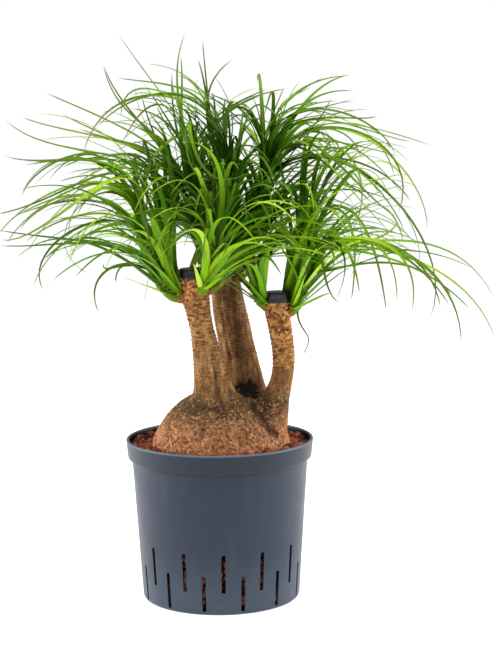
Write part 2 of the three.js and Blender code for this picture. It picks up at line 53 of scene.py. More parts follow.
CAMERA = {
    "place": (0.0, -2200.0, 631.0), "down": 8.08, "right": 0.90, "roll": -0.58,
    "focal_px": 1902.0, "frame_px": 657.0, "sensor": 36.0,
}
# The pot's radii and heights, its wall, and its rounds. "rows" are the grid's, up the wall.
POT = {
    "height": 190, "rim": 110, "foot": 88.1, "foot_round": 4.5, "wall_low": 92.6, "wall_high": 103.4,
    "wall_from": 4, "wall_to": 166, "collar_bottom": 168, "wall": 2, "floor": 3, "floor_round": 7,
    "lip": 1.3, "inner_lip": 0.8, "lip_rows": 4, "rows": 34,
}
# The collar's profile of [radius, height]: the step below it, its flare, and its inside downwards.
COLLAR = {
    "step": [
        (103.4, 166.9), (103.6, 167.6), (104.2, 168.0), (106.6, 168.2), (107.5, 168.5),
        (108.0, 169.1), (108.1, 170),
    ],
    "flare": [(108.6, 175), (109.2, 181), (109.8, 187)],
    "inside": [
        (106.4, 184), (106.2, 178), (106.0, 172), (105.9, 170.3), (105.4, 169.4), (103.0, 168.9),
        (101.6, 168.0),
    ],
}
# Upright slots, one in each sector of the wall, by turns in an upper row and a lower one.
SLOTS = {
    "sectors": 26, "first": 1.4, "width": 4.6, "width_at": 40, "rows": [(27, 72), (4.5, 46)],
    "between": 8,
}
# Two layers of pellets on top, in a jittered grid of staggered rows.
PELLETS = {
    "level": 180.5, "layers": (-5.0, 1.5), "pitch": 9.6, "row": 0.87, "across": 12, "wander": 3.6,
    "lift": (-1.5, 2.5), "small": 3.4, "large": 6.0, "edge": 106, "edge_room": 4, "base": 0.97,
    "stretch": 0.18, "dent": 0.12,
}
# Stacks of pellets behind each slot, in two lanes.
STACKS = {
    "levels": 9, "bottom": 9, "rise": 8, "stagger": 2, "lane": 4.4, "deep": 6.6, "size": 0.9,
    "lift": 1.5, "sway": 1.4, "recess": 2.0,
}
# The core below them, painted near black as the shade between pellets further down, by [radius, height].
CLAY_CORE = [(40, 4), (78, 4), (80, 8), (91, 165), (103.5, 171), (103.5, 173), (60, 173)]
# The swollen base: its place, its widest level, how high its dome is and how deep its bowl.
CAUDEX = {
    "x": 0, "y": -6, "level": 178, "half_width": 82, "half_depth": 71, "rise": 72, "depth": 48,
    "dome": 1.25, "lobes": 5, "lobe_size": 0.03, "lobe_turn": 0.6,
}
# Pairs of heights are where a feature of the bark starts and where it is whole, or the reverse.
BARK = {
    "ribs": 5, "rib_size": 0.06, "fade": (260, 320), "row": 2, "voxel": 1.25, "over": 4,
    "eased": (268, 300), "join_rounds": 70, "all_rounds": 6, "trunk": (232, 258),
    # painted light and shade on the swollen base: "warm_lit" lightens it low down, "dull" darkens it high
    # up
    "scars": (248, 285), "upright": (262, 345), "warm_lit": (236, 192), "dull": (204, 236),
    "plate": 4.0, "crack": 13,
}
# Painted shade on the front of the middle trunk, which stands behind the other two.
TRUNK_SHADE = {"turn": -1.35, "wide": 0.62}  # radians round the middle trunk
SEAL = {"overhang": 0.8, "round": 1.8, "gap": 0.35, "run": 1.1}

# Stations up each trunk: (height, x, y, radius). The wax seal, "seal" high, stands on the last one.
# "ring" is the pitch of the leaf scars, "scales" how far below the cut the scales reach, and
# "strands" the heights between which upright strands give way to scars. A groove is (degrees
# round the trunk, lowest and highest end, half width in radians, depth).
# "trunk_shade" is how dark each trunk's front is painted, as painted shade.
TRUNKS = {
    "left": {
        "turn": 0.4, "seal": 11, "ring": 4.6, "scales": 40, "trunk_shade": 0.0, "strands": (276, 330),
        "stations": [
            (200, 2, -16, 40), (230, -4, -20, 32), (245, -6, -22, 26.5), (258, -7.5, -23, 22.5),
            (282, -11.5, -25, 18.2), (305, -15.5, -26, 15), (333, -21, -27, 13.8),
            (358, -25.5, -27, 15.6), (382, -28, -27, 15.6),
        ],
        "grooves": [(-76, 236, 306, 0.13, 1.8), (-128, 225, 290, 0.1, 0.7), (-40, 230, 280, 0.1, 0.7)],
    },
    "middle": {
        "turn": 2.1, "seal": 11, "ring": 3.6, "scales": 26, "trunk_shade": 0.5, "strands": (370, 420),
        "stations": [
            (200, 34, 20, 38), (235, 31.5, 26, 29), (250, 30, 27, 25), (276, 26, 29, 21.5),
            (300, 20.5, 30, 21), (335, 14, 31, 19.7), (366, 9.6, 32, 17.6), (390, 7.6, 32, 16.4),
        ],
        "grooves": [(-122, 270, 372, 0.15, 2.0), (-82, 250, 350, 0.1, 0.9), (-45, 240, 330, 0.1, 0.8)],
    },
    "right": {
        "turn": 4.0, "seal": 13, "ring": 4.4, "scales": 100, "trunk_shade": 0.0, "strands": (250, 300),
        "stations": [
            (200, 44, -8, 37), (228, 58.5, -9, 23.6), (245, 67.6, -10, 16.8), (260, 73.4, -10, 14),
            (280, 75.8, -10, 13.4), (300, 74.8, -10, 13), (322, 71.4, -10, 13.4),
            (340, 68.6, -10, 14), (350, 68.8, -10, 13.8),
        ],
        "grooves": [(-100, 222, 262, 0.14, 1.0), (-50, 222, 275, 0.12, 0.9)],
    },
}
# The pit is sunk and painted dark, with brown flecks, as the shade between the trunks.
HOLLOW = {"place": (32, 4, 243), "size": (18, 20, 12), "depth": 5}  # the pit between two trunks
# The crease is a groove with a line of painted shade along it.
CREASE = {"from": (38, 232), "to": (66, 198), "wide": 3.4, "depth": 2.2}  # by [x, z], in front

# The boxes that leaves stay in, and the level that their tips stay above.
CROWN = {"low": (-252, -225, 270), "high": (332, 225, 664), "tips": 270}
FILLING = {"low": (-225, -200, 340), "high": (240, 200, 640), "tips": 395}
# Open air over the wax of two cuts, as seen from the front: left, right, bottom and top.
WINDOWS = [(-54, -27, 378, 416), (55, 80, 350, 388)]
# A blade: lengths along it are shares of the leaf. "steps", "samples", "clearance", "bundled" and
# "room" belong to the solids' rule for which leaves find room.
BLADE = {
    "steps": 4, "samples": 16, "root": 3.4, "flare": 0.16, "tip": 1.2, "taper": 1.5,
    "clearance": 0.7, "bundled": 0.3, "room": 14, "rows": 22, "crowd": 1.15, "thick": 0.8,
    "clasp": 6.0, "clasp_end": 0.04, "fold": (0.12, 0.34), "channel": 0.75, "channel_end": 0.07,
    "ripple": 0.25, "waves": 40, "veins": 4, "slim": 0.94, "run_out": 1.35, "withered": 5,
    "shrunk": 0.6, "tone": (0.54, 0.28),
}
# A leaf of the filling: its place up the stem, its turn and tilt in degrees, and how it bends.
# Each new try moves its turn by "retry", and an outline leaf's tip by "swing" to front or back.
GROWTH = {
    "place": (0.97, 0.08), "wander": 60, "retry": 47, "swing": 7, "tilt": (7, 37), "tilt_age": 0.9,
    "tilt_spread": 14, "sweep": 1.1, "sag": (0.55, 1.25), "fall": 1.25, "pulls": (0.55, 1.3),
    "reach": (0.75, 1.15), "young": 0.85, "width": (7, 9.5), "twist": 1.6,
}
TRIES = {"outline": 12, "filling": 70, "fine": 12}
# Steps between the numbers of the draws, so that no two leaves share one.
DRAWS = {"shoot": 4000, "leaf": 80, "fine": 90000, "sheath": 60000, "sheath_shoot": 400}
# The crown's dim middle, which fades out between the two values of "edge".
SHADED = {"place": (8, 10, 498), "size": (130, 118, 96), "edge": (0.25, 1.3)}
STEM = {"base": 5.2, "tip": 4.2, "samples": 30, "woody": (0.08, 0.26)}
GOLDEN_TURN = 137.508
BROAD = {"outline": 0.15, "companion": 0.3, "filling": 0.85}  # 0 runs out thin, 1 stays broad

# Leaves that only the fine pieces have. Counts are for each shoot of the left, middle and right
# trunk, and companions for each leaf of its outline.
FINE = {"count": {"left": 10, "middle": 46, "right": 10}, "reach": 0.8, "width": (0.75, 1.1)}
COMPANION = {
    "count": {"left": 2, "middle": 3, "right": 2}, "away": (0, 6, 13, 20), "length": (0.5, 0.92),
    "width": (0.6, 0.9), "twist": (0.2, 1.4),
}
SHEATH = {"count": 12, "age": (0.6, 1.03), "long": (14, 34), "width": (8, 11), "low": 300, "lift": 0.1}

# Each leafy shoot: its stem as the four control points of a curve, its number of leaves, their
# reach, and the leaves of its outline, each by the points at a third and two thirds and its tip.
SHOOTS = {
    "left_outer": {
        "seed": 1, "leaves": 30, "reach": 300,
        "stem": [(-36, -27, 360), (-58, -29, 350), (-76, -30, 385), (-88, -31, 432)],
        "outline": [
            {"points": [(-105, -40, 505), (-170, -50, 520), (-235, -60, 525)]},
            {"points": [(-110, -15, 495), (-170, -5, 520), (-225, 5, 480)]},
            {"points": [(-105, -60, 500), (-170, -85, 465), (-240, -100, 435)], "width": 11.5},
            {"points": [(-115, -30, 490), (-185, -35, 475), (-240, -40, 425)]},
            {"points": [(-120, -20, 465), (-175, -10, 470), (-230, 0, 455)]},
            {"points": [(-100, 0, 440), (-140, 10, 435), (-165, 20, 410)], "from": 0.8},
            {"points": [(-95, -20, 500), (-125, -25, 510), (-160, -30, 492)], "width": 10},
            {"points": [(-120, -30, 470), (-175, -40, 475), (-225, -50, 440)]},
            {"points": [(-115, -40, 455), (-165, -55, 455), (-215, -70, 430)]},
            {"points": [(-115, -35, 420), (-180, -50, 425), (-245, -60, 425)], "from": 0.6},
            {"points": [(-130, -50, 450), (-185, -70, 425), (-195, -80, 375)]},
            {"points": [(-125, -10, 480), (-175, 10, 440), (-145, 20, 380)]},
            {"points": [(-105, -40, 400), (-135, -50, 385), (-135, -55, 345)], "from": 0.6},
            {"points": [(-78, -14, 412), (-80, 0, 388), (-88, 10, 350)], "from": 0.6, "width": 5},
        ],
    },
    "left_front": {
        "seed": 2, "leaves": 21, "reach": 220,
        "stem": [(-22, -33, 364), (-17, -50, 364), (-7, -53, 395), (4, -52, 436)],
        "outline": [
            {"points": [(-14, -60, 410), (-14, -70, 440), (-28, -86, 446)], "from": 0.45, "width": 12},
        ],
    },
    "left_inner": {
        "seed": 3, "leaves": 21, "reach": 240,
        "stem": [(-18, -20, 366), (2, -14, 362), (8, -12, 394), (17, -10, 430)],
        "outline": [{"points": [(45, -30, 440), (82, -50, 430), (100, -58, 385)]}],
    },
    "left_back": {
        "seed": 4, "leaves": 25, "reach": 290,
        "stem": [(-32, -20, 364), (-46, -2, 360), (-60, 14, 390), (-64, 24, 430)],
        "outline": [
            {"points": [(-50, 20, 500), (-90, 30, 560), (-130, 40, 625)]},
            {"points": [(-80, 0, 505), (-160, -10, 530), (-240, -20, 565)]},
            {"points": [(-80, 20, 445), (-125, 30, 440), (-165, 40, 420)]},
            {"points": [(-60, 10, 525), (-95, 20, 565), (-130, 30, 625)]},
            {"points": [(-90, 30, 505), (-160, 40, 515), (-250, 50, 520)]},
            {"points": [(-105, -5, 515), (-175, -20, 520), (-220, -30, 480)]},
        ],
    },
    "middle_left": {
        "seed": 5, "leaves": 30, "reach": 270,
        "stem": [(0, 32, 372), (-21, 33, 370), (-20, 34, 420), (-26, 34, 476)],
        "outline": [
            {"points": [(-35, 20, 540), (-65, 10, 595), (-110, 0, 660)]},
            {"points": [(-35, 50, 535), (-45, 70, 600), (-35, 80, 662)]},
            {"points": [(-40, 35, 525), (-40, 40, 580), (-40, 45, 635)]},
            {"points": [(-75, 40, 520), (-155, 60, 545), (-230, 70, 565)]},
            {"points": [(-60, 10, 515), (-115, 0, 545), (-175, -10, 560)]},
            {"points": [(-15, 50, 530), (25, 60, 575), (85, 70, 595)]},
            {"points": [(-30, -20, 560), (-20, -60, 520), (35, -80, 505)]},
            {"points": [(-35, 0, 545), (-65, -20, 580), (-105, -40, 540)]},
            {"points": [(-60, 20, 515), (-105, 10, 535), (-160, 0, 552)], "width": 10},
        ],
    },
    "middle_front": {
        "seed": 6, "leaves": 24, "reach": 250,
        "stem": [(10, 24, 374), (12, 6, 371), (13, 6, 420), (14, 4, 474)],
        "outline": [
            {"points": [(0, 30, 520), (-10, 40, 585), (-20, 50, 630)]},
            {"points": [(0, 10, 520), (-10, 15, 580), (20, 20, 630)]},
            {"points": [(-5, -10, 560), (-85, -40, 590), (-150, -60, 525)]},
            {"points": [(-10, 10, 570), (-75, 0, 590), (-135, -10, 555)], "width": 10},
            {"points": [(-5, 25, 565), (-50, 35, 600), (-115, 45, 610)]},
            {"points": [(30, 0, 540), (45, -5, 577), (78, -10, 558)], "width": 10},
            {"points": [(15, 20, 540), (10, 20, 575), (-15, 10, 588)], "width": 10},
        ],
    },
    "middle_right": {
        "seed": 7, "leaves": 26, "reach": 300,
        "stem": [(18, 33, 372), (42, 34, 370), (44, 34, 440), (62, 34, 502)],
        "outline": [
            {"points": [(65, 30, 555), (100, 30, 595), (150, 25, 610)]},
            {"points": [(75, 45, 540), (100, 60, 570), (145, 80, 580)]},
            {"points": [(85, 10, 565), (155, -10, 565), (205, -20, 520)]},
            {"points": [(95, 50, 555), (165, 70, 550), (235, 90, 530)]},
            {"points": [(115, 0, 550), (190, -30, 530), (205, -50, 455)]},
            {"points": [(130, 30, 550), (210, 20, 510), (245, 10, 430)]},
            {"points": [(145, 10, 510), (230, -10, 435), (245, -20, 330)]},
            {"points": [(40, 10, 545), (5, 0, 580), (-40, -10, 615)]},
            {"points": [(100, -10, 535), (150, -30, 500), (205, -45, 450)]},
            {"points": [(110, 50, 535), (170, 70, 520), (225, 90, 465)]},
            {"points": [(50, 20, 550), (32, 10, 578), (5, 0, 560)], "width": 10},
            {"points": [(70, 25, 560), (85, 20, 585), (110, 15, 598)]},
        ],
    },
    "middle_back": {
        "seed": 8, "leaves": 27, "reach": 280,
        "stem": [(8, 40, 374), (8, 60, 371), (10, 66, 415), (12, 78, 464)],
        "outline": [],
    },
    "right_inner": {
        "seed": 9, "leaves": 20, "reach": 210,
        "stem": [(62, -12, 345), (43, -15, 342), (40, -16, 382), (32, -20, 422)],
        "outline": [],
    },
    "right_outer": {
        "seed": 10, "leaves": 25, "reach": 280,
        "stem": [(76, -11, 338), (98, -12, 334), (101, -12, 376), (107, -12, 425)],
        "outline": [
            {"points": [(185, -40, 420), (250, -60, 380), (275, -70, 305)], "width": 11.5},
            {"points": [(190, -15, 410), (270, -20, 375), (320, -25, 305)]},
            {"points": [(185, 15, 418), (265, 25, 407), (328, 30, 345)]},
            {"points": [(150, -40, 395), (195, -60, 400), (245, -75, 385)], "from": 0.7},
            {"points": [(135, -60, 430), (150, -110, 405), (155, -130, 375)]},
            {"points": [(160, -75, 430), (205, -100, 410), (215, -110, 350)]},
            {"points": [(115, -50, 420), (120, -80, 390), (135, -90, 360)], "from": 0.8},
            {"points": [(97, -20, 322), (104, -25, 310), (97, -25, 290)], "from": 0.3, "width": 4},
        ],
    },
    "right_back": {
        "seed": 11, "leaves": 27, "reach": 290,
        "stem": [(74, -1, 340), (84, 17, 337), (98, 22, 400), (118, 24, 462)],
        "outline": [
            {"points": [(160, -5, 450), (185, -20, 395), (195, -30, 340)]},
            {"points": [(120, 0, 480), (145, -20, 510), (180, -35, 535)]},
            {"points": [(130, 20, 525), (165, 15, 500), (155, 5, 425)]},
        ],
    },
}

FLOOR = 6000  # half the side of the pale floor
LIGHT_SIZE = 1.2
# Soft boxes: their places and targets in metres, and their watts.
LIGHTS = {
    "left_box": ((-1.6, 0.1, 0.8), (0, 0, 0.35), 34),
    "right_box": ((1.6, 0.1, 0.8), (0, 0, 0.35), 31),
    "top_box": ((0.0, -0.6, 2.1), (0, 0, 0.4), 30),
}


# ------------------------------------------------------------------ sums on arrays

def mix(low, high, share):
    """The value this share of the way from low to high."""
    return low + (high - low) * share


def smooth_step(low, high, value):
    """0 below low, 1 above high, and a smooth S between them."""
    share = np.clip((value - low) / (high - low), 0, 1)
    return share * share * (3 - 2 * share)


def unit(vectors):
    """Each vector divided by its length."""
    return vectors / np.linalg.norm(vectors, axis=-1, keepdims=True)


def full_turn(count):
    """This many even angles once round."""
    return np.linspace(0, 2 * np.pi, count, endpoint=False)


def draw(number, which):
    """A seeded draw between 0 and 1 for each pair of whole numbers: the fraction of a large sine."""
    wave = np.sin(number * 12.9898 + which * 78.233) * 43758.5453
    return wave - np.floor(wave)


def lattice(corner, seed):
    """A seeded draw between 0 and 1 for each whole-number corner of space."""
    wave = np.sin(corner @ np.array([127.1, 311.7, 74.7]) + seed * 53.3) * 43758.5453
    return wave - np.floor(wave)


def noise(points, size, seed=0):
    """Smooth noise from -1 to 1: draws at the corners of cubes of this size, blended between them."""
    place = points / size
    cell = np.floor(place)
    share = place - cell
    share = share * share * (3 - 2 * share)
    total = np.zeros(points.shape[:-1])
    for corner in np.ndindex(2, 2, 2):
        weight = np.prod(np.where(np.array(corner) == 1, share, 1 - share), axis=-1)
        total += weight * lattice(cell + corner, seed)
    return 2 * total - 1


def cells(points, size, seed=0):
    """Distances, in sizes, to the nearest and second nearest of one seeded point in each cube."""
    place = points / size
    home = np.floor(place)
    nearest = np.full(points.shape[:-1], 9.0)
    second = nearest.copy()
    for offset in np.ndindex(3, 3, 3):
        corner = home + offset - 1
        spot = corner + np.stack([lattice(corner, seed + n) for n in range(3)], -1)
        gap = np.linalg.norm(place - spot, axis=-1)
        second = np.minimum(second, np.maximum(nearest, gap))
        nearest = np.minimum(nearest, gap)
    return nearest, second


# ------------------------------------------------------------------ meshes

def tubes(rings, start, end):
    """Closed tubes: rings holds [tube, row, side, xyz], and one more point closes each end.

    Neighbouring rows are joined by quads and each end by a fan. The faces point outwards where
    the sides run counter-clockwise as seen looking back from the last row to the first.
    """
    count, rows, sides = rings.shape[:3]
    ring = np.arange(sides)
    after = (ring + 1) % sides
    up = np.arange(rows - 1)[:, None] * sides
    quads = np.stack([up + ring, up + after, up + sides + after, up + sides + ring], -1)
    first, last = rows * sides, (rows - 1) * sides
    fans = np.stack([
        np.concatenate([after, last + ring]), np.concatenate([ring, last + after]),
        np.concatenate([np.full(sides, first), np.full(sides, first + 1)]),
    ], -1)
    ends = np.stack([start, end], 1).reshape(count, 2, 3)
    points = np.concatenate([rings.reshape(count, -1, 3), ends], 1)
    shift = np.arange(count)[:, None, None] * (first + 2)
    return points.reshape(-1, 3), [
        (quads.reshape(-1, 4) + shift).reshape(-1, 4), (fans + shift).reshape(-1, 3),
    ]


def tube_values(values, start, end):
    """One value for each point of tubes(): values holds [tube, row, side], then the two ends'."""
    count = len(values)
    ends = np.stack([np.broadcast_to(start, count), np.broadcast_to(end, count)], 1)
    return np.concatenate([values.reshape(count, -1), ends], 1).ravel()


def turned(profile, angles):
    """A profile of [radius, height] turned about Z, as one tube of rings at these angles."""
    radius, height = np.asarray(profile, float).T
    return np.stack([
        radius[:, None] * np.cos(angles), radius[:, None] * np.sin(angles),
        np.repeat(height[:, None], len(angles), 1),
    ], -1)[None]


def arc(centre, radius, start, end, steps):
    """Points of [radius, height] round a centre, from the start angle to the end angle."""
    angle = np.radians(np.linspace(start, end, steps))
    return np.stack([centre[0] + radius * np.cos(angle), centre[1] + radius * np.sin(angle)], 1)


def joined(meshes):
    """Several lists of points and faces as one."""
    points, quads, triangles, start = [], [], [], 0
    for own, (four, three) in meshes:
        points.append(own)
        quads.append(four + start)
        triangles.append(three + start)
        start += len(own)
    return np.concatenate(points), [np.concatenate(quads), np.concatenate(triangles)]


def make_piece(name, points, faces, material, attributes=None, sharp=None):
    """An object at the origin: smooth faces, except at edges that bend more than sharp degrees."""
    mesh = bpy.data.meshes.new(name)
    faces = [group for group in faces if len(group)]
    corners = np.concatenate([group.ravel() for group in faces])
    counts = np.concatenate([np.full(len(group), group.shape[1]) for group in faces])
    mesh.vertices.add(len(points))
    mesh.vertices.foreach_set("co", (points * MM).astype(np.float32).ravel())
    mesh.loops.add(len(corners))
    mesh.loops.foreach_set("vertex_index", corners.astype(np.int32))
    mesh.polygons.add(len(counts))
    starts = np.concatenate([[0], np.cumsum(counts)[:-1]])
    mesh.polygons.foreach_set("loop_start", starts.astype(np.int32))
    mesh.polygons.foreach_set("use_smooth", np.ones(len(counts), bool))
    mesh.update(calc_edges=True)
    for key, values in (attributes or {}).items():
        layer = mesh.attributes.new(key, "FLOAT", "POINT")
        layer.data.foreach_set("value", np.asarray(values, np.float32).ravel())
    if sharp is not None:
        mesh.set_sharp_from_angle(angle=math.radians(sharp))
    mesh.materials.append(material)
    piece = bpy.data.objects.new(name, mesh)
    bpy.context.scene.collection.objects.link(piece)
    return piece


def seat(piece, slot, *nodes):
    """The piece moves with the plant's one body and stands for these solids."""
    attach(piece, "root")
    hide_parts(*nodes)


# ------------------------------------------------------------------ shader sums

class Value:
    """A shader socket. A sum with it adds a Math node to its material."""

    def __init__(self, paint, socket):
        self.paint = paint
        self.socket = socket

    def math(self, operation, *others):
        """A Math node on this value and the others."""
        inputs = dict(enumerate([self, *others]))
        return self.paint.value("ShaderNodeMath", {"operation": operation}, inputs, 0)

    def __add__(self, other):
        return self.math("ADD", other)

    def __sub__(self, other):
        return self.math("SUBTRACT", other)

    def __mul__(self, other):
        return self.math("MULTIPLY", other)

    def __rsub__(self, other):
        return self.paint.value("ShaderNodeMath", {"operation": "SUBTRACT"}, {0: other, 1: self}, 0)

    __radd__ = __add__
    __rmul__ = __mul__

    def between(self, low, high):
        """0 where this value is at low, 1 where it is at high, and a smooth S between them."""
        settings = {"interpolation_type": "SMOOTHSTEP"}
        inputs = {"Value": self, "From Min": low, "From Max": high}
        return self.paint.value("ShaderNodeMapRange", settings, inputs, 0)


class Paint:
    """One material, built from node() and value(); its colours are mixed by mix() and ramp()."""

    def __init__(self, name):
        self.material = bpy.data.materials.new(name)
        self.material.use_nodes = True
        self.tree = self.material.node_tree
        self.tree.nodes.clear()
        self.place = self.value("ShaderNodeTexCoord", {}, {}, "Object")

    def node(self, kind, settings, inputs):
        """A node with its settings, then its inputs. A ramp's stops are (position, colour)."""
        node = self.tree.nodes.new(kind)
        for key, setting in settings.items():
            if key == "stops":
                elements = node.color_ramp.elements
                while len(elements) < len(setting):
                    elements.new(1.0)
                for element, (position, tone) in zip(elements, setting):
                    element.position = position
                    element.color = colour(tone)
            else:
                setattr(node, key, setting)
        for key, value in inputs.items():
            if isinstance(value, Value):
                self.tree.links.new(value.socket, node.inputs[key])
            else:
                node.inputs[key].default_value = value
        return node

    def value(self, kind, settings, inputs, output):
        """One output of such a node, to go on with."""
        return Value(self, self.node(kind, settings, inputs).outputs[output])

    def noise(self, size, detail=2.0, roughness=0.5, place=None):
        """Cloudy noise from 0 to 1 with blotches of about this many millimetres."""
        inputs = {
            "Vector": place or self.place, "Scale": 1 / (size * MM), "Detail": detail,
            "Roughness": roughness,
        }
        return self.value("ShaderNodeTexNoise", {}, inputs, 0)

    def cells(self, size, output="Distance", place=None):
        """Cell texture whose cells are about this many millimetres wide."""
        inputs = {"Vector": place or self.place, "Scale": 1 / (size * MM)}
        return self.value("ShaderNodeTexVoronoi", {}, inputs, output)

    def stretched(self, x, y, z):
        """The place with each axis multiplied by its own number."""
        inputs = {0: self.place, 1: (x, y, z)}
        return self.value("ShaderNodeVectorMath", {"operation": "MULTIPLY"}, inputs, 0)

    def slanted(self, degrees, long):
        """The place turned about Y by these degrees, then stretched so many times along its Z."""
        inputs = {"Vector": self.place, "Rotation": (0, math.radians(degrees), 0), "Scale": (1, 1, long)}
        return self.value("ShaderNodeMapping", {"vector_type": "TEXTURE"}, inputs, 0)

    def warped(self, size, reach):
        """The place moved by cloudy noise, to either side by up to half of reach millimetres."""
        inputs = {"Vector": self.place, "Scale": 1 / (size * MM), "Detail": 2.0}
        cloud = self.value("ShaderNodeTexNoise", {}, inputs, "Color")
        inputs = {0: cloud, 1: (reach * MM,) * 3, 2: self.place}
        return self.value("ShaderNodeVectorMath", {"operation": "MULTIPLY_ADD"}, inputs, 0)

    def height(self, low, high):
        """0 at one height in millimetres, 1 at another, and a smooth S between them."""
        z = self.value("ShaderNodeSeparateXYZ", {}, {0: self.place}, "Z")
        return z.between(low * MM, high * MM)

    def attribute(self, name):
        """The number that make_piece() stored at each point under this name."""
        return self.value("ShaderNodeAttribute", {"attribute_name": name}, {}, "Fac")

    def tone_of(self, cell_colour):
        """One draw from 0 to 1 for each cell of a cell texture's Color output."""
        return self.value("ShaderNodeSeparateColor", {}, {0: cell_colour}, 0)

    def mix(self, share, low, high):
        """A colour between two: share 0 gives low, share 1 gives high."""
        inputs = {0: share, 6: colour(low), 7: colour(high)}
        return self.value("ShaderNodeMix", {"data_type": "RGBA"}, inputs, 2)

    def ramp(self, share, *stops):
        """A colour that runs through the stops as share goes from 0 to 1."""
        return self.value("ShaderNodeValToRGB", {"stops": stops}, {0: share}, 0)

    def finish(self, base, sockets, height=None, relief=0.0, strength=1.0):
        """Ends in one Principled shader. height is a relief from 0 to 1, relief its millimetres."""
        inputs = {"Base Color": colour(base), **sockets}
        if height is not None:
            bump = {"Height": height, "Distance": relief * MM, "Strength": strength}
            inputs["Normal"] = self.value("ShaderNodeBump", {}, bump, 0)
        shader = self.value("ShaderNodeBsdfPrincipled", {}, inputs, 0)
        self.node("ShaderNodeOutputMaterial", {}, {"Surface": shader})
        return self.material


def colour(tone):
    """A colour given as display red, green and blue out of 255, in the renderer's linear terms."""
    if isinstance(tone, Value):
        return tone
    shares = [channel / 255 for channel in tone]
    linear = [s / 12.92 if s <= 0.04045 else ((s + 0.055) / 1.055) ** 2.4 for s in shares]
    return (*linear, 1.0)


# ------------------------------------------------------------------ finishes

def pot_plastic():
    """Blue-grey moulded plastic: satin, faint clouding, dust low down, painted light that lightens the
    wall towards the foot, a darker collar with a painted highlight on its lip, and a line of shade
    under the collar's step. The inner wall is painted near black as shade."""
    paint = Paint("pot_plastic")
    cloud = paint.noise(60, detail=4)
    grain = paint.noise(1.2, detail=3)
    streak = paint.noise(14, detail=3, place=paint.stretched(1, 1, 0.12))
    dust = paint.height(60, 4) * paint.noise(9, detail=4).between(0.45, 0.75)
    base = paint.mix(cloud, (20, 31, 48), (27, 39, 57))
    base = paint.mix(streak.between(0.5, 0.8) * 0.12, base, (70, 80, 90))
    base = paint.mix(dust * 0.14, base, (120, 112, 104))
    # painted light from the floor: the wall is lighter towards the foot
    base = paint.mix(paint.height(80, 10) * 0.6, base, (52, 64, 80))
    step, top = POT["collar_bottom"], POT["height"]
    below = paint.height(step - 6.5, step - 1.5) * paint.height(step + 1.5, step + 0.2)
    base = paint.mix(below * 0.85, base, (16, 21, 31))
    base = paint.mix(paint.height(step, step + 2) * 0.6, base, (8, 17, 30))
    # painted highlight: a pale band along the rounded lip
    base = paint.mix(paint.height(top - 2.6, top - 0.8) * 0.5, base, (112, 124, 136))
    # painted shade: the inner wall is painted near black
    base = paint.mix(paint.attribute("inside"), base, (7, 8, 10))
    rough = paint.noise(25, detail=3) * 0.16 + 0.36
    return paint.finish(base, {"Roughness": rough, "Specular IOR Level": 0.3}, grain, 0.12, 0.35)


def fired_clay():
    """Expanded clay: red-brown, a tone of its own for each pellet, with pores and pale mineral dust.
    The core below the pellets is painted near black as shade.
    """
    paint = Paint("fired_clay")
    tone = paint.attribute("tone")
    speck = paint.noise(1.6, detail=4, roughness=0.7)
    pore = paint.cells(1.3)
    base = paint.ramp(tone, (0.0, (58, 24, 17)), (0.4, (104, 48, 33)), (0.75, (140, 72, 50)),
                      (1.0, (166, 104, 78)))
    base = paint.mix(speck.between(0.4, 0.75) * 0.45, base, (62, 28, 20))
    base = paint.mix(paint.noise(5, detail=3).between(0.58, 0.75) * 0.35, base, (176, 138, 114))
    # painted shade: the core is near black
    base = paint.mix(paint.attribute("core"), base, (26, 13, 9))
    height = speck * 0.6 + pore.between(0.0, 0.35) * 0.4
    return paint.finish(base, {"Roughness": 0.95, "Specular IOR Level": 0.2}, height, 0.5, 0.7)


